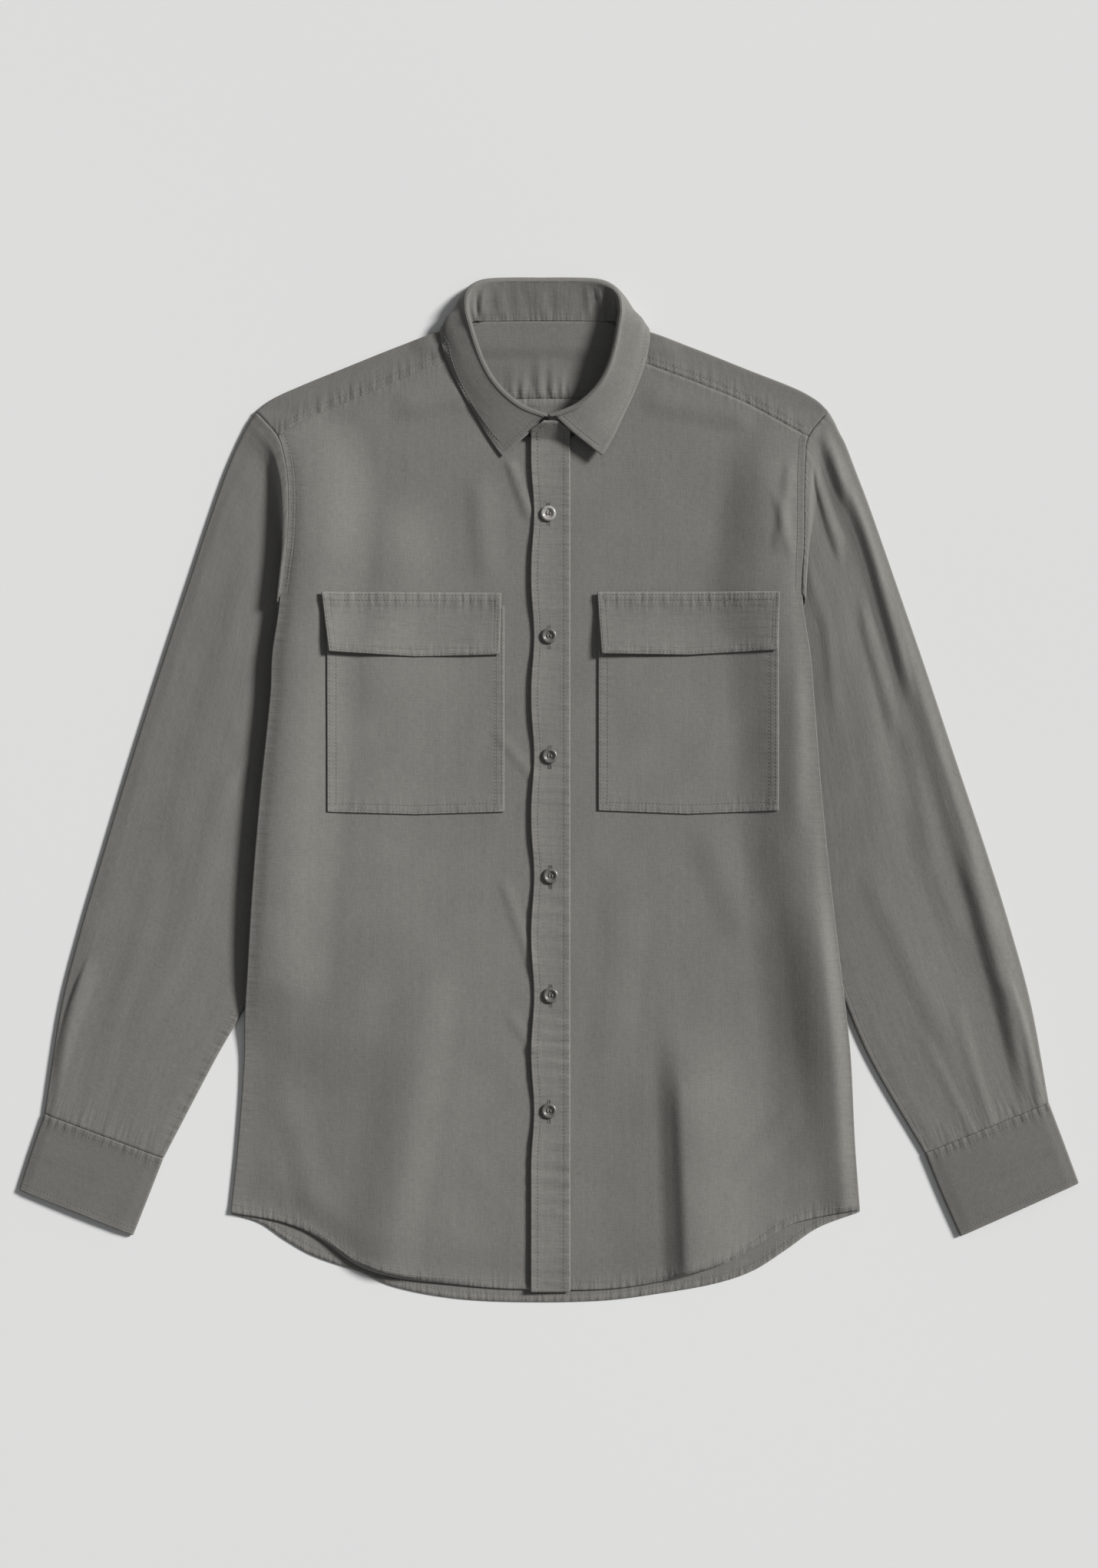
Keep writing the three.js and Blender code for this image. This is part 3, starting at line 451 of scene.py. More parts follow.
def cotton(colour, shift=0.0, stitch_inset=6.0, groove_and_shade=1.0):
    """Washed cotton: slubs in warp and weft, a soft mottle, puckers at the seams, paler worn edges, and
    stitch grooves pressed in and darkened with painted shade.
    """
    def make(start):
        place = start.node("ShaderNodeUVMap", {"uv_map": "weave"}, {})
        edge = start.node("ShaderNodeAttribute", {"attribute_name": "edge"}, {}, 2)
        across = start.node("ShaderNodeAttribute", {"attribute_name": "ripple_across"}, {}, 2)
        along = start.node("ShaderNodeAttribute", {"attribute_name": "ripple_along"}, {}, 2)
        warp = place.noise((900, 170, 1), 3.0, shift)
        weft = place.noise((150, 900, 1), 3.0, shift + 7)
        grain = place.noise((1900, 1900, 1), 2.0, shift + 3)
        mottle = place.noise((34, 26, 1), 4.0, shift + 11)
        rib = place.noise((230, 14, 1), 2.0, shift + 5)
        worn = edge.bell(0.4, 1.1)
        stitch_groove_and_shade = edge.bell(stitch_inset, 0.55) * groove_and_shade
        tone = warp * 0.62 + weft * 0.58 + grain * 0.25 + mottle * 0.4 + rib * 0.2 + worn * 0.22
        # Painted shade: the colour is darkened a little along the stitch lines, where the bump presses the
        # cloth in.
        tone = tone - stitch_groove_and_shade * 0.04 - 0.52
        pucker_across = place.noise((210, 38, 1), 1.5, shift + 2) * across
        pucker_along = place.noise((38, 210, 1), 1.5, shift + 9) * along
        height = (warp + weft) * 0.1 + grain * 0.05 + rib * 0.1 + mottle * 0.35 + pucker_across * 1.5
        height = height + pucker_along * 1.5 - stitch_groove_and_shade * 0.12
        bump = start.node("ShaderNodeBump", {}, {"Height": height, "Strength": 1.0, "Distance": MM})
        return {"Base Color": tone.tint(colour, 0.73, 1.27), "Roughness": 0.9, "Normal": bump,
                "Sheen Weight": 0.12, "Sheen Roughness": 0.5, "Specular IOR Level": 0.25}
    return make


def strands(starts, ends, radius, sides=6, bow=0.0):
    """Short round strands between two sets of points, with closed pointed ends, bowed up in the middle."""
    along = np.array([0, 0.04, 0.3, 0.7, 0.96, 1])
    width = np.array([0.02, 0.7, 1, 1, 0.7, 0.02]) * radius
    line = unit(ends - starts)
    across = unit(np.cross(line, [0.0, 0.0, 1.0]))
    upright = np.cross(across, line)
    angle = np.linspace(0, 2 * np.pi, sides, endpoint=False)
    middle = starts[:, None] + (ends - starts)[:, None] * along[None, :, None]
    middle = middle + upright[:, None] * (bow * 4 * along * (1 - along))[None, :, None]
    ring = (across[:, None] * np.cos(angle)[:, None] + upright[:, None] * np.sin(angle)[:, None])
    points = middle[:, :, None] + ring[:, None] * width[None, :, None, None]
    count = len(along) * sides
    number = np.arange(count).reshape(len(along), sides)
    beyond = np.roll(number, -1, 1)
    quads = np.stack([number[:-1], beyond[:-1], beyond[1:], number[1:]], -1).reshape(-1, 4)
    faces = (quads[None] + (np.arange(len(starts)) * count)[:, None, None]).reshape(-1, 4)
    return points.reshape(-1, 3), faces


def whole_mesh(name, parts, material):
    """One mesh of several parts' points and faces."""
    shift = np.cumsum([0] + [len(points) for points, _ in parts[:-1]])
    points = np.concatenate([points for points, _ in parts])
    faces = np.concatenate([faces + start for (_, faces), start in zip(parts, shift)])
    return mesh_of(name, points * MM, faces, material)


def run_along(points, axis):
    """Distance of each point of a grid from the first one on its line along an axis."""
    strides = np.diff(points, axis=axis, prepend=np.take(points, [0], axis))
    return np.cumsum(np.linalg.norm(strides, axis=-1), axis)


def inset_line(outer, distance):
    """Points of a surface grid that lie a distance in from its first column, one for each row."""
    run = run_along(outer, 1)
    column = np.maximum((run < distance).sum(1), 1)
    row = np.arange(len(outer))
    share = (distance - run[row, column - 1]) / (run[row, column] - run[row, column - 1])
    return mix(outer[row, column - 1], outer[row, column], share[:, None])


def outer_face(middle, thick):
    """Upper or outer surface of a wall, from its middle points."""
    normal = unit(np.cross(slope(middle, 1, False), slope(middle, 0, False)))
    facing = np.sign(normal[..., 2:3].sum())
    return middle + normal * facing * thick / 2


def sew(name, lines):
    """Rows of stitches along surface lines, as one piece of thread."""
    piece = place_piece(name, whole_mesh(name, [stitches(line) for line in lines], thread))


def stitches(line):
    """Points and faces of a row of small stitches that follow a line of surface points."""
    run = run_along(line, 0)
    start = np.arange(STITCH_PITCH, run[-1] - STITCH_PITCH, STITCH_PITCH)
    begin, finish = (np.stack([np.interp(at, run, line[:, axis]) for axis in range(3)], -1)
                     for at in (start, start + 0.72 * STITCH_PITCH))
    return strands(begin, finish, STITCH_THICK, 4, 0.16)


def near(distance, reach):
    """Weight that is one at a seam and has died away a couple of reaches from it."""
    return np.exp(-((distance / reach) ** 2))


def thread_finish(colour):
    """Matt cotton thread with a fine twist."""
    def make(start):
        place = start.node("ShaderNodeTexCoord", {}, {}, 3)
        twist = place.noise((2600, 2600, 2600), 1.0)
        bump = start.node("ShaderNodeBump", {}, {"Height": twist, "Strength": 0.5, "Distance": 0.0002})
        return {"Base Color": twist.tint(colour, 0.8, 1.2), "Roughness": 0.85, "Normal": bump}
    return make


def back_bottom(u):
    x = mix(HEM_LEFT, HEM_RIGHT, u)
    return np.stack([x, back_hem(x)], -1)


def back_top(u):
    x = mix(left_edge(BACK_YOKE_END), right_edge(BACK_YOKE_END), u)
    return np.stack([x, back_seam(x) - SEAM], -1)


body_cotton = finish_material("body_cotton", cotton(COTTON))
thread = finish_material("thread", thread_finish([1.12 * c for c in COTTON]))
dark_thread = finish_material("dark_thread", thread_finish([0.62 * c for c in COTTON]))

across = steps([0, 0.004, 0.02, 0.13, 0.87, 0.98, 0.996, 1], [1, 3, 16, 60, 16, 3, 1])
up = steps([0, 0.003, 0.03, SIDE_BREAK, 1], [1, 8, 90, 26])
back = patch(across, up, back_bottom, back_top,
             lambda v: side_at(v, BACK_YOKE_END, left_edge, back_hem),
             lambda v: side_at(v, BACK_YOKE_END, right_edge, back_hem))
x, y = back[..., 0], back[..., 1]
from_hem = y - back_hem(x)
rolled_hem = 0.35 * near(from_hem - 1.5, 2.5)
back = np.dstack([back, under_height(x, y) + rolled_hem])
back_piece = cloth_wall("back_cloth", back, CLOTH, body_cotton, edge=from_hem,
                        ripple=(near(from_hem, 8) + near(back_seam(x) - y, 9), 0.2))
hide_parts("back")
hem_edge = outer_face(back, CLOTH).transpose(1, 0, 2)
sew("back_hem_stitches", [inset_line(hem_edge, HEM_STITCH)])


# Yoke: one cloth across the back of the shoulders, folded forwards over the shoulder line to the
# front yoke seams. Inside the neck its lower part shows, gathered a little at the back seam.
TIP_LEFT = -235.5
TIP_RIGHT = 225.1
SHOULDERS = table("across top front", [
    [TIP_LEFT, SHOULDER_TIP, 276],
    [-223.5, 315, 281.5],
    [-200.6, 325.7, 296.5],
    [-162.8, 341.2, 313],
    [-122.5, 357.4, 329.8],
    [-87, 370.1, 344.5],
    [-66, 373, 351],
    [-56, 378.4, 354.5],
    [-46, 379.4, 355],
    [39, 379.4, 355],
    [49, 378.4, 354.5],
    [59.5, 373, 351.5],
    [77, 370.8, 344.6],
    [120, 355.3, 328.5],
    [160.6, 339.1, 311.5],
    [200.9, 323, 289.4],
    [217, 313.7, 281],
    [TIP_RIGHT, SHOULDER_TIP, 276],
])
NECK_HALF = 61.6
NECK_SIDE = 352
NECK_FOOT = 281.8
NECK_TURN = 372
NECK_BACK = 377
NECKLINE = table("at out level", [
    [0, NECK_HALF, NECK_SIDE],
    [0.2, 56.9, 335.4],
    [0.42, 49.4, 318.6],
    [0.64, 38.8, 303.6],
    [0.82, 26, 291.4],
    [1, 12, NECK_FOOT],
])
GATHERS = table("across height reach width", [
    [-38, 0.7, 16, 3.4],
    [-29, 1.3, 40, 3.4],
    [-20.5, 1.7, 32, 2.7],
    [-14.5, 1.0, 15, 2.2],
    [-7.4, 1.9, 46, 3.2],
    [3.4, 2.0, 38, 2.9],
    [10.9, 1.6, 30, 2.5],
    [19, 0.9, 20, 3.0],
])
# Folds of the fronts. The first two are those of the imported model, a little stronger here. They come
# before the fronts because the yoke's lower edge follows them.
RIDGES = table("from_x from_y to_x to_y height left right ends", [
    [104, -168, 114, -425, 5.7, 22, 68, 90],
    [-88, -110, -134, -400, 3.0, 40, 30, 80],
    [103, -180, 113, -405, 3.0, 72, 94, 90],
    [105, -215, 113, -405, 1.7, 9, 58, 60],
    [-88, -40, -130, -395, 4.2, 100, 96, 90],
    [-142, 235, -172, -190, 4.5, 64, 84, 60],
    [213, -50, 251, -320, 5.2, 39, 14, 110],
    [200, 120, 200, 0, 1.6, 16, 12, 50],
    [177, 282, 150, 170, 1.9, 28, 32, 50],
    [-58, 262, -52, 190, 1.3, 15, 20, 30],
    [-132, 250, -138, 100, 2.6, 62, 56, 50],
    [-128, 240, -124, 190, 1.3, 30, 30, 40],
    [118, -10, 152, -100, 1.3, 22, 26, 40],
    [70, 316, 150, 302, 1.6, 16, 24, 20],
    [-130, 306, -72, 316, 1.4, 14, 22, 20],
    [196, 272, 186, 205, 1.5, 7, 9, 20],
    [180, 246, 192, 200, 1.2, 6, 8, 20],
    [-40, -66, -16, -134, 0.9, 6, 8, 20],
    [-48, 52, -16, 14, 0.7, 6, 8, 16],
    [-36, -176, -14, -208, 0.7, 6, 9, 14],
    [-34, 270, -18, 226, 1.5, 6, 8, 12],
    [66, -60, 50, -200, 0.9, 24, 24, 60],
    [206, -250, 160, -300, 0.9, 12, 16, 24],
    [-214, -240, -190, -330, 0.9, 16, 20, 30],
])
FOLD_TAPER = 15
FOLD_HEM = 4
FOLD_INSET = 0.6  # from the outline of the shoulders to the middle of the folded cloth


def ridge_height(rows, x, y):
    """Sum of crests along lines, each with its own width on its left and right, faded at both ends."""
    total = np.zeros(np.broadcast(x, y).shape)
    for start_x, start_y, end_x, end_y, height, left, right, ends in zip(*rows.values()):
        length = np.hypot(end_x - start_x, end_y - start_y)
        line_x = (end_x - start_x) / length
        line_y = (end_y - start_y) / length
        along = (x - start_x) * line_x + (y - start_y) * line_y
        aside = line_x * (y - start_y) - line_y * (x - start_x)
        crest = 1 - smooth(0, np.where(aside < 0, left, right), np.abs(aside))
        total += height * crest * smooth(0, ends, along) * (1 - smooth(length, length + ends, along))
    return total


def front_height(x, y):
    """Middle of the front cloth: over the back with air between, and with the folds of the fronts."""
    from_left = x - left_edge(y)
    from_right = right_edge(y) - x
    from_hem = y - front_hem(x)
    loft = LOFT * smooth(0, SIDE_TAPER, from_left) * smooth(0, SIDE_TAPER, from_right)
    loft = loft * smooth(0, HEM_TAPER, from_hem)
    folds = ridge_height(RIDGES, x, y) * smooth(0, FOLD_TAPER, from_left) * smooth(0, FOLD_TAPER, from_right)
    return under_height(x, y) + LAYER + loft + folds * smooth(0, FOLD_HEM, from_hem)


neck_left = neck_middle(NECK_TURN) - NECK_HALF
neck_right = neck_middle(NECK_TURN) + NECK_HALF
top_x = steps([TIP_LEFT, -217, neck_left, neck_right, 206.5, TIP_RIGHT], [8, 62, 112, 62, 8])
neck_cells = (70, 182)  # cells of top_x that lie between the two ends of the neck
share = (top_x - top_x[0]) / (top_x[-1] - top_x[0])
at_end = (share < 0.001) | (share > 0.999)
seam_x = mix(left_edge(BACK_YOKE_END), right_edge(BACK_YOKE_END), share)
back_point = np.stack([seam_x, back_seam(seam_x)], -1)
top_point = np.stack([top_x, read(SHOULDERS, "across", "top", top_x) - FOLD_INSET], -1)
fold_in = top_point - unit(top_point - back_point) * FOLD


def front_seam_x(side, edge, tip, neck_x):
    """Places along the front yoke seam for the sections of one shoulder."""
    end = neck_middle(NECK_SIDE) + side * NECK_HALF
    return mix(edge(FRONT_YOKE_END), end, np.clip((top_x - tip) / (neck_x - tip), 0, 1))


seam_front_x = np.where(top_x < 0, front_seam_x(-1, left_edge, TIP_LEFT, neck_left),
                        front_seam_x(1, right_edge, TIP_RIGHT, neck_right))
front_point = np.stack([seam_front_x, read(SHOULDERS, "across", "front", seam_front_x)], -1)

low_part = np.linspace(0, 1, 34, endpoint=False)[None, :, None]
lower = mix(back_point[:, None], fold_in[:, None], low_part)
edge_x = np.where((share < 0.5)[:, None], left_edge(lower[..., 1]), right_edge(lower[..., 1]))
lower[..., 0] = np.where(at_end[:, None], edge_x, lower[..., 0])
from_seam = lower[..., 1] - back_point[:, None, 1]
lower_z = under_height(lower[..., 0], lower[..., 1])
for at_x, height, reach, width in zip(*GATHERS.values()):
    spread = 1 + 0.8 * from_seam / reach
    crest = height * near(lower[..., 0] - at_x, width * spread)
    lower_z += crest * smooth(-1, 5, from_seam) * (1 - smooth(0, reach, from_seam))
lower = np.dstack([lower, lower_z])

turn = np.linspace(0, np.pi, 9)[None, :, None]
fold = mix(fold_in[:, None], top_point[:, None], np.sin(turn))
fold_z = under_height(fold_in[:, 0], fold_in[:, 1])[:, None] + FOLD * (1 - np.cos(turn[..., 0]))
fold = np.dstack([fold, fold_z])

high_part = np.linspace(0, 1, 15)[None, 1:, None]
upper = mix(fold_in[:, None], front_point[:, None], high_part)
edge_x = np.where((share < 0.5)[:, None], left_edge(upper[..., 1]), right_edge(upper[..., 1]))
upper[..., 0] = np.where(at_end[:, None], edge_x, upper[..., 0])
pucker = np.sin(2 * np.pi * (upper[..., 0] + 4 * np.sin(upper[..., 0] / 23)) / 9.0)
pucker = pucker * (0.55 + 0.45 * np.sin(upper[..., 0] / 13 + 2)) + 0.4 * np.sin(upper[..., 0] / 2.3)
down = high_part[..., 0]
upper_z = mix(under_height(upper[..., 0], upper[..., 1]) + 2 * FOLD,
              front_height(upper[..., 0], upper[..., 1]), down)
upper_z += 0.35 * pucker * smooth(0.35, 0.95, down) * (1 - smooth(0.95, 1, down))
upper = np.dstack([upper, upper_z])

yoke = np.concatenate([lower, fold, upper], 1)
present = np.ones((yoke.shape[0] - 1, yoke.shape[1] - 1), bool)
present[neck_cells[0]:neck_cells[1], lower.shape[1]:] = False
to_front_seam = np.linalg.norm(yoke[..., :2] - front_point[:, None], axis=-1)
to_back_seam = np.linalg.norm(yoke[..., :2] - back_point[:, None], axis=-1)
column = np.arange(yoke.shape[1])
on_front = column >= lower.shape[1] + 4
yoke_edge = np.where(on_front, to_front_seam, to_back_seam)
# Painted shade: the yoke's cotton is darker than the body's to stand for the shadow inside the neck, and this
# darkens the whole yoke.
yoke_cotton_painted_shade = finish_material("yoke_cotton_painted_shade", cotton([0.91 * c for c in COTTON], 77.0))
yoke_piece = cloth_wall(
    "yoke_cloth", yoke, CLOTH, yoke_cotton_painted_shade,
    weave=np.dstack([yoke[..., 0], run_along(yoke, 1)]), edge=yoke_edge,
    ripple=(near(yoke_edge, 11) * 1.1, near(yoke_edge, 6) * 0.2), present=present)
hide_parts("yoke")
shoulder_edge = outer_face(yoke[:, lower.shape[1] + 4:], CLOTH)[:, ::-1]
sew("yoke_stitches", [inset_line(shoulder_edge[rows], inset) for inset in (CLOSE_STITCH, EDGE_STITCH)
                      for rows in (slice(2, neck_cells[0]), slice(neck_cells[1], -2))])


# Fronts: two cotton panels from the hem up to the yoke and the neck. They meet under the placket
# and carry the shirt's main folds, which the table and the arms below have pressed into them.
FRONT_MEETS = 12.9
NECK_SHARE = 0.66
ARMHOLE_ROW = 199  # first row of a front's grid above the underarm


def front_panel(side):
    """Middle points of one front: side is -1 for the wearer's right and 1 for the left."""
    edge = left_edge if side < 0 else right_edge
    meets = FRONT_MEETS - SEAM if side < 0 else FRONT_MEETS
    curved = 0.75 if side < 0 else 0.98  # share of the neck's edge before it runs on under the placket

    def bottom(u):
        x = mix(edge(HEM_LEVEL), meets, u)
        return np.stack([x, front_hem(x)], -1)

    def top(u):
        """Yoke seam, then the curve of the neck, then straight on under the placket."""
        shoulder_x = mix(edge(FRONT_YOKE_END), neck_middle(NECK_SIDE) + side * NECK_HALF, u / NECK_SHARE)
        shoulder = np.stack([shoulder_x, read(SHOULDERS, "across", "front", shoulder_x) - SEAM], -1)
        beyond = (u - NECK_SHARE) / (1 - NECK_SHARE) / curved
        at = np.clip(beyond, 0, 1)
        level = read(NECKLINE, "at", "level", at) - SEAM * (1 - at)
        neck_x = neck_middle(level) + side * read(NECKLINE, "at", "out", at)
        straight = np.maximum(0, beyond - 1) / (1 / curved - 1)
        neck = np.stack([mix(neck_x, meets, straight), level], -1)
        return np.where((u <= NECK_SHARE)[:, None], shoulder, neck)

    across = steps([0, 0.006, 0.26, NECK_SHARE, 1], [2, 26, 40, 34])
    up = steps([0, 0.002, 0.02, SIDE_BREAK, 1], [1, 7, 190, 58])
    flat = patch(across, up, bottom, top,
                 lambda v: side_at(v, FRONT_YOKE_END, edge, front_hem),
                 lambda v: np.stack([np.full_like(v, meets), mix(front_hem(meets), NECK_FOOT, v)], -1))
    x, y = flat[..., 0], flat[..., 1]
    from_hem = y - front_hem(x)
    from_top = np.abs(read(SHOULDERS, "across", "front", x) - y)
    from_side = np.abs(x - edge(np.clip(y, HEM_LEVEL, OUTLINE["level"][-1])))
    height = front_height(x, y) + 0.5 * near(from_hem - 2, 3)
    height = height + 0.6 * near(from_side, 4) * smooth(UNDERARM + 8, UNDERARM + 45, y)
    stitched = np.minimum(from_hem, np.where(y > UNDERARM, from_side, 99))
    puckers_up = near(from_hem, 9) + 0.5 * near(from_top, 8)
    puckers_across = 0.55 * near(from_side, 10)
    return np.dstack([flat, height]), stitched, (puckers_up, puckers_across)


for name, side, area in (("front_right", -1, 0.172), ("front_left", 1, 0.15)):
    middle, stitched, ripple = front_panel(side)
    piece = cloth_wall(name + "_cloth", middle, CLOTH, body_cotton, edge=stitched, ripple=ripple)
    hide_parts(name)
    face = outer_face(middle, CLOTH)
    sew(name + "_stitches", [inset_line(face.transpose(1, 0, 2)[3:], HEM_STITCH),
                             inset_line(face[ARMHOLE_ROW:], EDGE_STITCH)])


# Sleeves: flat tubes of cotton, each a seamed cloth sewn into the armhole and tucked a little under
# the body. They lie with an outer fold, a long soft trough beside it, and pleats above the cuff.
LEFT_SLEEVE = table("at outer_x outer_y inner_x inner_y held rim foot crown dip", [
    [0, -236.2, 305, -215.8, 155.5, 1, 4.2, 4.6, 5.6, 3.8],
    [0.03, -241.2, 297.5, -217.6, 151, 1.03, 4.2, 4.6, 5.6, 3.8],
    [0.05, -244.5, 291.5, -215.5, 144.5, 0.5, 4.2, 4, 3.8, 3.6],
    [0.08, -249, 283, -209, 131, 0.05, 4.2, 3.8, 3.5, 3.4],
    [0.14, -259, 260, -208, 108, 0, 4.2, 4.2, 4.2, 3.5],
    [0.22, -270, 229, -216, 84, 0, 4.2, 4.6, 5.4, 3.5],
    [0.32, -289, 172, -213, 40, 0, 4.2, 4.6, 5.6, 3.6],
    [0.44, -312.5, 101, -216, -10, 0, 4.2, 4.6, 5.6, 3.6],
    [0.56, -336.5, 26, -220, -64, 0, 4.2, 4.6, 5.6, 3.6],
    [0.68, -359.5, -50, -225, -120, 0, 4.2, 4.6, 5.6, 3.6],
    [0.78, -377.5, -111, -240, -166, 0, 4.2, 4.6, 5.4, 4],
    [0.88, -393.5, -174, -269, -218, 0, 4.4, 3.8, 5, 4.2],
    [1, -407, -261, -310.5, -297, 0, 4.2, 4, 4.4, 4.2],
])
RIGHT_SLEEVE = table("at outer_x outer_y inner_x inner_y held rim foot crown dip", [
    [0, 225.9, 305, 204.7, 155.5, 1, 4.2, 4.6, 5.6, 3.8],
    [0.03, 230.5, 297, 206.4, 151, 0.96, 4.4, 4.6, 5.6, 3.8],
    [0.05, 234, 289.5, 204, 144.5, 0.4, 4.6, 4.4, 4.6, 3.6],
    [0.08, 239, 280, 199, 131, 0, 5, 4, 4.6, 3.4],
    [0.14, 247.5, 258, 198.5, 108, 0, 5.6, 3.8, 4.8, 3.5],
    [0.22, 258.5, 229, 205, 84, 0, 6, 3.6, 5.2, 3.5],
    [0.32, 278.5, 172, 203, 40, 0, 6.4, 3.5, 5.4, 3.6],
    [0.44, 303, 101, 207, -10, 0, 6.6, 3.4, 5.4, 3.6],
    [0.56, 328, 26, 211, -64, 0, 6.8, 3.4, 5.2, 3.6],
    [0.68, 353.5, -50, 216, -112, 0, 7, 3.3, 5, 3.6],
    [0.78, 372.5, -111, 232, -154, 0, 7, 3.2, 5, 4],
    [0.88, 389.5, -174, 258, -216, 0, 6.4, 3.4, 4.8, 4.2],
    [1, 403.5, -252, 302.8, -293, 0, 4.4, 4, 4.4, 4.2],
])
SLEEVE_FADE = 0.3
SLEEVE_LENGTH = 590
ARMHOLE_TUCK = 0.5
# Creases of the sleeves: places as shares of the length and of the width from the outer fold.
LEFT_CREASES = table("from_at from_share to_at to_share height before after ends", [
    [0.80, 0.10, 0.94, 0.02, 2.4, 0.02, 0.12, 0.05],
    [0.16, 0.40, 0.60, 0.36, 0.7, 0.16, 0.16, 0.1],
    [0.45, 0.62, 0.86, 0.50, 0.8, 0.14, 0.12, 0.1],
    [0.62, 0.30, 0.92, 0.36, 0.6, 0.10, 0.10, 0.1],
    [0.86, 0.55, 1.00, 0.50, 0.2, 0.05, 0.06, 0.04],
    [0.88, 0.28, 1.00, 0.30, 0.2, 0.05, 0.06, 0.04],
    [0.40, 0.78, 0.50, 0.60, 0.5, 0.06, 0.06, 0.04],
])
RIGHT_CREASES = table("from_at from_share to_at to_share height before after ends", [
    [0.03, 0.22, 0.18, 0.31, 2.0, 0.09, 0.07, 0.04],
    [0.27, 0.30, 0.45, 0.30, 1.6, 0.08, 0.07, 0.05],
    [0.03, 0.05, 0.42, 0.13, 1.9, 0.05, 0.07, 0.06],
    [0.01, 0.05, 0.14, 0.10, 1.8, 0.04, 0.06, 0.04],
    [0.33, 0.42, 0.52, 0.46, 0.9, 0.10, 0.16, 0.07],
    [0.40, 0.22, 0.60, 0.25, 1.0, 0.08, 0.10, 0.08],
    [0.54, 0.30, 0.74, 0.28, 1.4, 0.12, 0.12, 0.07],
    [0.64, 0.11, 0.92, 0.15, 2.6, 0.07, 0.08, 0.08],
    [0.83, 0.09, 0.99, 0.03, 2.0, 0.02, 0.09, 0.03],
    [0.60, 0.66, 0.86, 0.56, 1.0, 0.12, 0.10, 0.08],
    [0.84, 0.42, 1.00, 0.46, 0.9, 0.06, 0.07, 0.04],
    [0.86, 0.66, 1.00, 0.62, 0.6, 0.05, 0.06, 0.04],
    [0.06, 0.62, 0.34, 0.66, 0.8, 0.10, 0.10, 0.08],
])


def sleeve_creases(rows, at, share):
    """Sum of crests along the sleeve, whose places and widths are shares of its width."""
    total = np.zeros(np.broadcast(at, share).shape)
    for from_at, from_share, to_at, to_share, height, before, after, ends in zip(*rows.values()):
        along = (at - from_at) / (to_at - from_at)
        offset = share - mix(from_share, to_share, along)
        crest = 1 - smooth(0, np.where(offset < 0, before, after), np.abs(offset))
        fade = ends / (to_at - from_at)
        total += height * crest * smooth(0, fade, along) * (1 - smooth(1 - fade * 0.2, 1 + fade, along))
    return total


def tube(rows, creases, at, upper_share, lower_share, thick, edge=None, side=0):
    """Rings of middle points: the upper cloth from the outer fold to the inner, then the lower back."""
    at = at[:, None]
    outer = np.dstack([read(rows, "at", "outer_x", at), read(rows, "at", "outer_y", at)])
    inner = np.dstack([read(rows, "at", "inner_x", at), read(rows, "at", "inner_y", at)])
    inset = unit(inner - outer) * thick / 2
    outer = outer + inset
    inner = inner - inset

    def layer(share, top):
        share = share[None, :]
        place = mix(outer, inner, share[..., None])
        bottom = np.full(place.shape[:2], thick / 2)
        held = np.zeros_like(at)
        raised = np.zeros_like(share)
        if edge is not None:
            level = mix(SHOULDER_TIP, UNDERARM, share)
            bend = edge(level) - mix(edge(SHOULDER_TIP), edge(UNDERARM), share)
            place[..., 0] += bend * (1 - smooth(0, SLEEVE_FADE, at))
            raised = under_height(edge(level) - side * 0.5, level)
            held = np.clip(read(rows, "at", "held", at), 0, 1.05)
            bottom = bottom + held * np.maximum(0, raised - LOWEST)
        if not top:
            return np.dstack([place, bottom])
        stops = table("share rim foot crown dip", [
            [0, 1, 0, 0, 0], [0.09, 1, 0, 0, 0], [0.24, 0, 1, 0, 0],
            [0.55, 0, 0, 1, 0], [0.88, 0, 0, 0, 1], [1, 0, 0, 0, 1]])
        flat_top = sum(read(rows, "at", part, at) * read(stops, "share", part, share)
                       for part in ("rim", "foot", "crown", "dip"))
        height = np.maximum(bottom + 2 * FOLD, mix(flat_top, raised + 2 * FOLD, np.minimum(held, 1)))
        height = height + sleeve_creases(creases, at, share) * smooth(0, 0.03, at)
        near_fold = smooth(0, 0.09, share) * (1 - smooth(0.88, 1, share))
        rounded = np.sqrt(np.clip(1 - (1 - np.minimum(share, 1 - share) / 0.014).clip(0) ** 2, 0, 1))
        height = mix(bottom + 2 * FOLD, height, near_fold)
        return np.dstack([place, mix(bottom + FOLD, height, rounded)])

    upper = layer(upper_share, True)
    lower = layer(lower_share, False)
    rings = np.concatenate([upper, lower], 1)
    rings[..., 0] -= side * ARMHOLE_TUCK * (at < 0.001)
    return rings


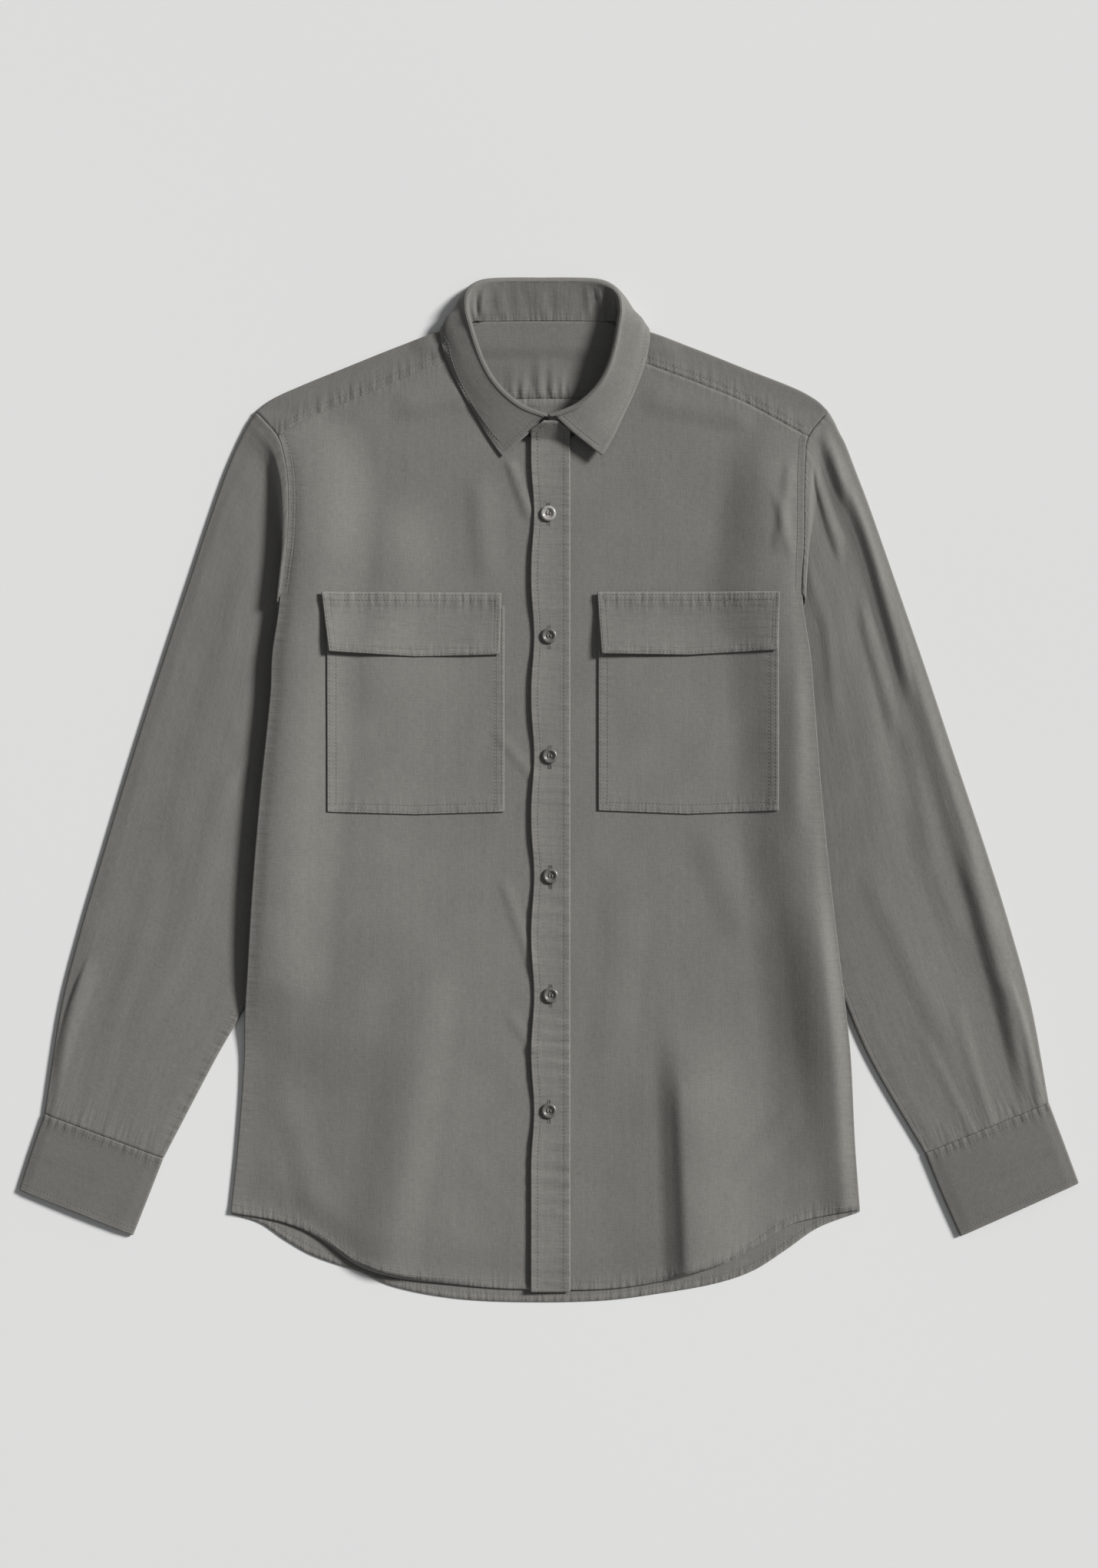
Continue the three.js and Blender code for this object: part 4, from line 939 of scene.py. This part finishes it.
upper_share = steps([0, 0.014, 0.05, 0.3, 0.95, 0.986, 1], [4, 4, 26, 42, 3, 4])
lower_share = steps([0.986, 0.95, 0.05, 0.014], [3, 20, 3])
sleeve_at = steps([0, 0.1, 0.9, 0.985, 1], [24, 110, 26, 5])
# Painted shade: the sleeves' cotton is a little darker than the body's, so that the sleeves look dimmer.
sleeve_cotton_painted_shade = finish_material("sleeve_cotton_painted_shade", cotton([0.965 * c for c in COTTON], 21.0))
for name, rows, creases, edge, side in (("sleeve_right", LEFT_SLEEVE, LEFT_CREASES, left_edge, -1),
                                        ("sleeve_left", RIGHT_SLEEVE, RIGHT_CREASES, right_edge, 1)):
    middle = tube(rows, creases, sleeve_at, upper_share, lower_share, CLOTH, edge, side)
    share = np.concatenate([upper_share, 2 - lower_share])[None, :]
    at = sleeve_at[:, None]
    width = np.hypot(read(rows, "at", "outer_x", at) - read(rows, "at", "inner_x", at),
                     read(rows, "at", "outer_y", at) - read(rows, "at", "inner_y", at))
    from_cuff = (1 - at) * SLEEVE_LENGTH
    from_armhole = at * SLEEVE_LENGTH
    weave = np.dstack([(share - 0.5) * width, np.broadcast_to(from_armhole, (len(sleeve_at), share.size))])
    inner_seam = np.abs(share - 1) * width
    gathers = near(from_cuff, 16) * 0.55 + near(from_armhole, 9) * 0.8
    piece = cloth_wall(name + "_cloth", middle, CLOTH, sleeve_cotton_painted_shade, weave=weave,
                       edge=np.minimum(inner_seam + 2, from_armhole + 60), ring=True,
                       ripple=(gathers + 0.12, near(inner_seam, 8) * 0.9))
    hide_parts(name)


# Cuffs: doubled and stiffened bands, closed into flat tubes, with a line of stitches all round.
LEFT_CUFF = table("at outer_x outer_y inner_x inner_y held rim foot crown dip", [
    [0, -407.3, -261.9, -310.9, -297.9, 0, 4, 4, 4.4, 4],
    [0.5, -417.6, -292, -322.9, -328.6, 0, 4.2, 4.4, 4.6, 4.2],
    [1, -427.3, -322.2, -335, -359.2, 0, 4, 4.2, 4.4, 4],
])
RIGHT_CUFF = table("at outer_x outer_y inner_x inner_y held rim foot crown dip", [
    [0, 403.8, -252.9, 303.2, -293.9, 0, 4, 4, 4.4, 4],
    [0.5, 415.8, -284.6, 317, -327.4, 0, 4.2, 4.4, 4.6, 4.2],
    [1, 427.7, -316.8, 331.5, -360, 0, 4, 4.2, 4.4, 4],
])
NO_CREASES = {name: np.zeros(0) for name in LEFT_CREASES}
CUFF_THICK = 1.5
CUFF_DEPTH = 67
CUFF_WIDTH = 104
cuff_cotton = finish_material("cuff_cotton", cotton([0.85 * c for c in COTTON], 33.0, 5.0, 1.0))
cuff_at = steps([0, 0.01, 0.99, 1], [1, 34, 1])
for name, rows in (("cuff_right", LEFT_CUFF), ("cuff_left", RIGHT_CUFF)):
    middle = tube(rows, NO_CREASES, cuff_at, upper_share, lower_share, CUFF_THICK)
    share = np.concatenate([upper_share, 2 - lower_share])[None, :]
    from_seam = cuff_at[:, None] * CUFF_DEPTH
    from_end = (1 - cuff_at[:, None]) * CUFF_DEPTH
    weave = np.dstack(np.broadcast_arrays(from_seam, share * CUFF_WIDTH))
    wave = np.sin(share * CUFF_WIDTH / 1.15 + 2 * np.sin(share * 9))
    middle[..., 2] += 0.22 * wave * near(from_seam - 3, 4) * (share < 1)
    piece = cloth_wall(name + "_cloth", middle, CUFF_THICK, cuff_cotton, weave=weave,
                       edge=np.minimum(from_seam, from_end), ring=True,
                       ripple=(0.3 * near(from_end, 6), near(from_seam, 8)))
    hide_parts(name)
    upper = outer_face(middle[:, :len(upper_share)], CUFF_THICK).transpose(1, 0, 2)[5:-5]
    sew(name + "_stitches", [inset_line(face, BAND_STITCH) for face in (upper, upper[:, ::-1])])


# Collar: a stiffened stand that rises from the neck seam, and a leaf that is sewn to its top, turns
# down all round and ends in two points. The stand's inside is drawn up into soft upright puckers.
COLLAR = table(
    "neck_x neck_y roll_x roll_y roll_z bulge_x bulge_y bulge_z turn_x turn_y turn_z edge_x edge_y edge_z", [
        [0, 378.7, 0, 409.3, 6, 0, 412, 3.4, 0, 404, 0.7, 0, 366, 0.6],
        [26, 378.6, 28, 409.3, 6.2, 28, 412, 3.4, 28, 404, 0.7, 30, 366, 0.6],
        [48, 378.2, 46, 408.2, 8, 47.5, 410.4, 4, 49, 402, 0.7, 54, 366, 0.6],
        [55.4, 378.4, 56.5, 403.5, 11.5, 58.5, 404.6, 5.5, 60, 396, 0.8, 66, 365.5, 0.6],
        [58.8, 377, 61.5, 396, 16, 66.5, 396, 8, 68, 387.5, 1, 73, 365, 0.6],
        [60, 373.6, 62.5, 386, 18, 72, 386.4, 10, 74.5, 379.5, 1.4, 79, 370, 0.7],
        [60.2, 367, 61.6, 378.5, 19.5, 77, 379.6, 12, 80.5, 375.8, 5.6, 83, 373, 2.8],
        [60, 360, 60, 371.5, 20.4, 77, 371.5, 14, 82.4, 370, 9.6, 84.2, 367, 8.4],
        [57.6, 350, 56.5, 357, 21.2, 71.5, 356, 15.4, 79, 355, 10.4, 82.6, 355.5, 0],
        [54.6, 336.6, 51.5, 342, 21.4, 64.5, 337.6, 15.2, 72.5, 336, 10, 77.2, 338.4, 0],
        [47.4, 320.6, 44.5, 328.5, 21.4, 56, 320.6, 15, 64, 317.5, 10, 69.4, 321, 0.2],
        [37.2, 305.6, 34.5, 316.5, 21, 45.5, 306, 14.8, 54.5, 300.5, 10, 60, 302.8, 0.6],
        [25, 293.6, 21.5, 306.5, 20.6, 33.5, 294.5, 14.6, 43.5, 285.5, 10, 50.2, 284.6, 1.2],
        [8, 283.4, 4.5, 299.8, 20, 17.5, 287.4, 14.4, 30.5, 276.8, 10.2, 40, 269, 2],
        [0.3, 283, 0.3, 299, 19.4, 12, 287, 14.2, 26, 276, 10.2, 36, 267, 2],
    ])
COLLAR["station"] = np.arange(15.0)
AROUND = {name: np.concatenate([values[:0:-1], values]) for name, values in COLLAR.items()}
AROUND["station"] = np.arange(-14.0, 15.0)
ROLL_ROUND = 2.4
STAND_END = 14
LEAF_END = 13
STAND_TOP = 2.9
LEAF_START = 3.06
LEFT_FALL = 0.8  # how far the left half of the collar is pressed down to these heights
LEFT_ROLL = 13
LEFT_BULGE = 10
LEFT_TURN = 8
LEFT_DROP = 0.8
POINT_BULGE = 1.5  # how far the right point of the collar is raised
POINT_TURN = 3.5
POINT_EDGE = 5


def collar_sections(station):
    """Eight named places of each section, from the neck seam over the roll to the leaf's free edge."""
    side = np.where(station < 0, -1, 1)

    def value(column):
        return read(AROUND, "station", column, np.abs(station))

    def point(name, height):
        y = value(name + "_y")
        x = neck_middle(y) + side * value(name + "_x")
        return np.stack([x, y, height(x, y)], -1)

    neck = point("neck", lambda x, y: mix(front_height(x, y), under_height(x, np.full_like(y, NECK_BACK)),
                                          smooth(NECK_TURN, NECK_BACK + FOLD_INSET, y)))
    on_front = smooth(7, 8, np.abs(station))
    flatter = np.where(station < 0, LEFT_FALL, 0) * smooth(5, 9, np.abs(station))
    tipped = np.where(station > 0, 1, 0) * smooth(10.5, 13, np.abs(station))
    roll = point("roll", lambda x, y: mix(value("roll_z"), LEFT_ROLL, flatter))
    bulge = point("bulge", lambda x, y: mix(value("bulge_z"), LEFT_BULGE, flatter) + POINT_BULGE * tipped)
    turn = point("turn", lambda x, y: mix(value("turn_z"), LEFT_TURN, flatter) + POINT_TURN * tipped)
    edge = point("edge", lambda x, y: value("edge_z") * (1 - flatter)
                 + on_front * (front_height(x, y) + LAYER) + POINT_EDGE * tipped)
    stand = (neck + roll) / 2
    outwards = unit((bulge - roll) * [1, 1, 0])
    drop = mix(np.minimum(ROLL_ROUND, (roll[:, 2] - 1.2) / 5), LEFT_DROP, flatter)
    steep = mix(0.12, 1, smooth(8, 20, roll[:, 2]))
    roll_in = roll - outwards * ROLL_ROUND
    roll_in[:, 2] = roll[:, 2] - ROLL_ROUND * steep
    roll_out = roll + outwards * ROLL_ROUND
    roll_out[:, 2] = roll[:, 2] - drop
    return np.stack([neck, stand, roll_in, roll, roll_out, bulge, turn, edge], 1)


def collar_grid(stations, places):
    """Points of a smooth curve through each section's places, whose slope at a place is half the step
    between its two neighbours."""
    named = collar_sections(stations)
    ends = np.concatenate([2 * named[:, :1] - named[:, 1:2], named, 2 * named[:, -1:] - named[:, -2:-1]], 1)
    span = np.minimum(places.astype(int), 6)
    share = (places - span)[None, :, None]
    before, start, end, after = (ends[:, span + shift] for shift in range(4))
    leaving = (end - before) / 2
    arriving = (after - start) / 2
    bend = 3 * (end - start) - 2 * leaving - arriving
    twist = 2 * (start - end) + leaving + arriving
    grid = start + leaving * share + bend * share**2 + twist * share**3
    grid[..., 2] = np.maximum(grid[..., 2], LOWEST)
    return grid


collar_cotton = finish_material("collar_cotton", cotton(COTTON, 44.0, 4.5, 0.9))
# Painted shade: the stand's cotton is darker than the leaf's to stand for the shadow inside the neck.
stand_cotton_painted_shade = finish_material("stand_cotton_painted_shade", cotton([0.87 * c for c in COTTON], 88.0, 4.5, 0.6))
stand_stations = steps([-STAND_END, -LEAF_END, -8, -2, 2, 8, LEAF_END, STAND_END], [4, 40, 60, 24, 60, 40, 4])
leaf_stations = stand_stations[4:-4]

stand = collar_grid(stand_stations, steps([0, 0.04, 2.5, STAND_TOP], [1, 16, 4]))
run = run_along(stand, 0).mean(1)[:, None]
rise = run_along(stand, 1)
drawn = np.sin(2 * np.pi * (run + 4 * np.sin(run / 19)) / 13.0) + 0.5 * np.sin(2 * np.pi * run / 7.3)
belly = smooth(0, 0.35, rise / rise[:, -1:]) * (1 - smooth(0.6, 0.95, rise / rise[:, -1:]))
at_back = 1 - smooth(3.5, 7, np.abs(stand_stations))[:, None]
inwards = unit(np.cross(slope(stand, 0, False), slope(stand, 1, False)))
facing = np.sign(inwards[..., 2:3].mean() + 1e-9)
stand = stand + inwards * (0.75 * drawn * belly * at_back)[..., None] * facing
stand_piece = cloth_wall("collar_stand_cloth", stand, CLOTH, stand_cotton_painted_shade,
                         weave=np.dstack([rise, np.broadcast_to(run, rise.shape)]), edge=rise,
                         ripple=(0.1, near(rise, 7) * 0.8 + 0.25 * at_back))
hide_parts("collar_stand")

leaf = collar_grid(leaf_stations, steps([LEAF_START, 4, 5, 6, 6.98, 7], [10, 10, 12, 12, 1]))
run = run_along(leaf, 0).mean(1)[:, None]
fall = run_along(leaf, 1)
to_edge = fall[:, -1:] - fall
to_point = np.minimum(run - run[0], run[-1] - run) * np.ones_like(fall)
leaf_edge = np.minimum(to_edge, to_point)
leaf_piece = cloth_wall("collar_leaf_cloth", leaf, CLOTH, collar_cotton,
                        weave=np.dstack([fall, np.broadcast_to(run, fall.shape)]), edge=leaf_edge,
                        ripple=(0.25 * near(leaf_edge, 6), 0.3 * near(leaf_edge, 6)))
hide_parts("collar_leaf")
leaf_face = outer_face(leaf, CLOTH)
sew("collar_leaf_stitches", [inset_line(leaf_face[5:-5, ::-1], EDGE_STITCH),
                             inset_line(leaf_face.transpose(1, 0, 2)[:-6], EDGE_STITCH),
                             inset_line(leaf_face[::-1].transpose(1, 0, 2)[:-6], EDGE_STITCH)])


# Placket: the doubled strip that carries the buttonholes. Its free left edge waves between the
# buttons and throws a dark line on the front below, and shrunken seams pucker it across.
PLACKET_WIDTH = 29.5
PLACKET_MIDDLE = 2.2
PLACKET_TOP = 296
PLACKET_BEND = 282.5  # above this level the placket climbs the collar stand
PLACKET_CLIMB = 0.74
PLACKET_POINT = 299.5  # its sides would meet here, below the collar
PLACKET_LIFT = 1.6
BUTTONS = table("across level", [
    [-0.3, 222.6], [0.3, 124], [0.9, 27.3], [1.6, -69.4], [1.6, -165.5], [0.3, -258.5],
])
placket_cotton = finish_material("placket_cotton", cotton([1.03 * c for c in COTTON], 55.0, 5.0, 0.9))
part = steps([0, 0.02, 0.98, 1], [1, 20, 1])[None, :]
rise = steps([0, 0.002, 0.998, 1], [1, 420, 1])[:, None]
left = PLACKET_MIDDLE - PLACKET_WIDTH / 2
x = left + PLACKET_WIDTH * part
y = mix(front_hem(x) - 1.4, PLACKET_TOP, rise)
to_button = np.abs(y[..., None] - BUTTONS["level"]).min(-1)
free = (1 - part) ** 2
x = x + free * (1.2 * np.cos(np.pi * np.clip(to_button / 46, 0, 1)) - 0.3)
lift = PLACKET_LIFT * free * (0.35 + 0.65 * smooth(4, 30, to_button))
crimp = np.sin(2 * np.pi * (y + 5 * np.sin(y / 31) + 3 * part) / 12.5) * (0.4 + 0.9 * smooth(100, -250, y))
crimp = crimp * (0.5 + 0.5 * np.sin(y / 17 + 1)) * (0.35 + part)
z = front_height(x, np.maximum(y, front_hem(x) + 0.1)) + LAYER + lift + 0.28 * crimp
z += PLACKET_CLIMB * np.maximum(0, y - PLACKET_BEND)
x = PLACKET_MIDDLE + (x - PLACKET_MIDDLE) * np.clip((PLACKET_POINT - y) / 10, 0, 1)
from_sides = np.minimum(x - x[:, :1], x[:, -1:] - x)
placket = np.dstack([x, y, z])
placket_face = outer_face(placket, DOUBLED)
sew("placket_stitches", [inset_line(face, BAND_STITCH) for face in (placket_face, placket_face[:, ::-1])])
placket_piece = cloth_wall("placket_cloth", placket, DOUBLED, placket_cotton,
                           edge=from_sides, ripple=(0.1, 0.35 + 0.5 * near(from_sides, 6)))
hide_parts("placket")


# Pockets: two square patches sewn on the chest with two rows of stitches, and over each a doubled
# flap that is sewn along its top and stands a little proud at its free edge.
POCKET_STITCH = 6.8
FLAP_STITCH = 6.4
POCKETS = {
    "right": {"inner": -36, "outer": -177.5, "top": 148, "bottom": -17.5, "point": -19.6,
              "flap_inner": -38.4, "flap_outer": -181.6, "flap_top": 158.4,
              "flap_inner_low": 109.2, "flap_outer_low": 111.4, "flap_point": 106.4,
              "left_lift": 3.6, "right_lift": 0.6, "left_in": 6.0},
    "left": {"inner": 40.4, "outer": 184.4, "top": 148, "bottom": -16.4, "point": -19.2,
             "flap_inner": 39.4, "flap_outer": 185, "flap_top": 159,
             "flap_inner_low": 110, "flap_outer_low": 112.8, "flap_point": 107.6,
             "left_lift": 3.0, "right_lift": 0.8, "left_in": 3.5},
}
pocket_cotton = finish_material("pocket_cotton", cotton([1.04 * c for c in COTTON], 66.0, 6.5, 1.0))
grid_across = steps([0, 0.004, 0.996, 1], [1, 66, 1])
for side, sizes in POCKETS.items():
    low_x, high_x = sorted((sizes["inner"], sizes["outer"]))
    across = grid_across[None, :]
    up = steps([0, 0.003, 0.997, 1], [1, 78, 1])[:, None]
    x = mix(low_x, high_x, across) + 0 * up
    bottom = sizes["bottom"] + (sizes["point"] - sizes["bottom"]) * (1 - np.abs(2 * across - 1))
    y = mix(bottom, sizes["top"], up)
    from_edge = np.minimum(np.minimum(x - low_x, high_x - x), y - bottom)
    loose = smooth(0, 30, from_edge)
    z = front_height(x, y) + LAYER
    z += 0.5 * loose * (1 + np.sin(x / 21 + y / 34 + low_x)) * smooth(0, 1, up)
    z += 0.35 * loose * np.sin(x / 9.0 - y / 13.0 + low_x) * near(y - bottom - 45, 40)
    pocket = np.dstack([x, y, z])
    from_sides = np.minimum(x - low_x, high_x - x)
    pocket_piece = cloth_wall("pocket_" + side + "_cloth", pocket, CLOTH, pocket_cotton, edge=from_edge,
                              ripple=(0.7 * near(y - bottom, 11), 0.7 * near(from_sides, 11)))
    face = outer_face(pocket, CLOTH)
    rim = [face[2:], face[2:, ::-1], face.transpose(1, 0, 2)[2:-2]]
    sew("pocket_" + side + "_stitches",
        [inset_line(edge, inset) for edge in rim for inset in (CLOSE_STITCH, POCKET_STITCH)])
    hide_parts("pocket_" + side)

    low_x, high_x = sorted((sizes["flap_inner"], sizes["flap_outer"]))
    up = steps([0, 0.015, 0.985, 1], [1, 30, 1])[:, None]
    lows = (sizes["flap_outer_low"], sizes["flap_inner_low"])
    if low_x == sizes["flap_inner"]:
        lows = lows[::-1]
    down = 1 - up
    x = mix(low_x + sizes["left_in"] * down, high_x - 1.6 * down, across)
    point = (sizes["flap_point"] - sizes["flap_inner_low"]) * (1 - np.abs(2 * across - 1))
    low_y = mix(lows[0], lows[1], across) + point
    y = mix(low_y, sizes["flap_top"], up)
    from_top = sizes["flap_top"] - y
    from_edge = np.minimum(np.minimum(x - x[:, :1], x[:, -1:] - x), y - low_y)
    lift = mix(sizes["left_lift"], sizes["right_lift"], smooth(0, 0.6, across)) + 0.3 * np.sin(across * 9)
    z = front_height(x, y) + 2 * LAYER + lift * smooth(8, 46, from_top)
    z += 0.45 * near(from_top - 5, 4) - 0.25 * near(from_top - 6.4, 1.2)
    wave = np.sin(2 * np.pi * (x + 3 * np.sin(x / 11)) / 8.6)
    z += 0.25 * wave * near(from_top - 5, 7)
    stitched = np.minimum(from_edge + 1.5, np.abs(from_top))
    flap = np.dstack([x, y, z])
    flap_piece = cloth_wall("flap_" + side + "_cloth", flap, DOUBLED, pocket_cotton, edge=stitched,
                            ripple=(0.9 * near(from_top - 5, 9) + 0.8 * near(y - low_y, 8),
                                    0.3 + 0.5 * near(from_edge, 7)))
    face = outer_face(flap, DOUBLED)
    rim = [face, face[:, ::-1], face.transpose(1, 0, 2)[2:-2]]
    sew("flap_" + side + "_stitches", [inset_line(edge, CLOSE_STITCH) for edge in rim]
        + [inset_line(rim[2][:, ::-1], inset) for inset in (CLOSE_STITCH, FLAP_STITCH)])
    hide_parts("flap_" + side)


# Buttons: turned resin discs with a round rim, a hollow middle and four sewn holes, each on top of
# the placket, over the close stitches along both sides of an upright buttonhole.
HOLE_OUT = 1.25
HOLE_RADIUS = 0.62
TIE_LEVEL = 1.25
TIE_SHIFT = (0.15, 0, 0.02)
BUTTONHOLE_HALF = 9.5
BUTTONHOLE_STITCHES = 44
BUTTONHOLE_DROP = 1.0
BUTTONHOLE_LIFT = 0.75
BUTTON_PROFILE = table("out up", [
    [0.001, 1.05], [2.1, 1.05], [2.9, 1.15], [3.35, 1.55], [3.8, 2.15], [4.5, 2.55], [5.2, 2.5], [5.9, 2.05],
    [6.3, 1.4], [6.15, 0.7], [5.6, 0.2], [4.5, 0], [0.001, 0],
])


def resin(colour, roughness):
    """Button resin with a cloudy tone and fine flecks."""
    def make(start):
        place = start.node("ShaderNodeTexCoord", {}, {}, 3)
        cloud = place.noise((420, 420, 420), 2.0)
        fleck = place.noise((1900, 1900, 1900), 2.0, 4.0)
        tone = cloud * 0.7 + fleck * 0.3
        bump = start.node("ShaderNodeBump", {}, {"Height": fleck, "Strength": 0.3, "Distance": 0.0001})
        return {"Base Color": tone.tint(colour, 0.7, 1.3), "Roughness": roughness, "Normal": bump,
                "Coat Weight": 0.5, "Coat Roughness": 0.2}
    return make


pale_resin = finish_material("pale_resin", resin((0.36, 0.35, 0.33), 0.28))
grey_resin = finish_material("grey_resin", resin((0.135, 0.13, 0.118), 0.4))
# Painted shade: near-black discs in each button's hollow middle stand for the shadow down its four holes,
# which are not cut through the resin.
hole_shade = finish_material("hole_shade", thread_finish((0.02, 0.02, 0.019)))


def turned(profile, count):
    """Points of a profile turned round the upright axis, with its faces in rings."""
    angle = np.linspace(0, 2 * np.pi, count, endpoint=False)[:, None]
    points = np.stack([profile["out"] * np.cos(angle), profile["out"] * np.sin(angle),
                       profile["up"] + 0 * angle], -1)
    number = np.arange(points.shape[0] * points.shape[1]).reshape(points.shape[:2])
    beyond = np.roll(number, -1, 0)
    faces = np.stack([number[:, 1:], number[:, :-1], beyond[:, :-1], beyond[:, 1:]], -1).reshape(-1, 4)
    return points.reshape(-1, 3), faces


button_shape = turned(BUTTON_PROFILE, 40)
hole_profile = table("out up", [[0.001, 1.12], [HOLE_RADIUS, 1.12], [HOLE_RADIUS, 0.9], [0.001, 0.9]])
for index in range(6):
    name = f"button_{index + 1}"
    low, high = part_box(name)
    centre = np.array([(low.x + high.x) / 2 / MM, (low.y + high.y) / 2 / MM, low.z / MM])
    resin_finish = pale_resin if index == 0 else grey_resin
    points, faces = button_shape
    disc = [(points + centre, faces)]
    piece = place_piece(name + "_resin", whole_mesh(name + "_resin", disc, resin_finish))
    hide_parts(name)
    corner = HOLE_OUT * np.array([[1, 1, 0], [-1, 1, 0], [-1, -1, 0], [1, -1, 0]])
    hole_points, hole_faces = turned(hole_profile, 14)
    holes = [(hole_points + centre + place, hole_faces) for place in corner]
    piece = place_piece(name + "_holes", whole_mesh(name + "_holes", holes, hole_shade))
    lift = centre + [0, 0, TIE_LEVEL]
    points, faces = strands(corner[[0, 1]] + lift, corner[[3, 2]] + lift, 0.42, 8, 0.25)
    ties = [(points, faces), (points + TIE_SHIFT, faces)]
    piece = place_piece(name + "_thread", whole_mesh(name + "_thread", ties, thread))
    sides_x = np.repeat([-1.0, 1.0], BUTTONHOLE_STITCHES)
    sides_y = np.tile(np.linspace(-BUTTONHOLE_HALF, BUTTONHOLE_HALF, BUTTONHOLE_STITCHES), 2)
    place = np.stack([centre[0] + sides_x, centre[1] - BUTTONHOLE_DROP + sides_y], -1)
    ground = front_height(place[:, 0], place[:, 1])[:, None] + LAYER + BUTTONHOLE_LIFT
    inner = np.hstack([place - np.stack([sides_x * 0.85, 0 * sides_y], -1), ground])
    outer = np.hstack([place + np.stack([sides_x * 0.75, 0 * sides_y], -1), ground - 0.05])
    bars = [strands(inner, outer, 0.26, 5, 0.1)]
    piece = place_piece(name + "_hole_stitches", whole_mesh(name + "_hole_stitches", bars, dark_thread))
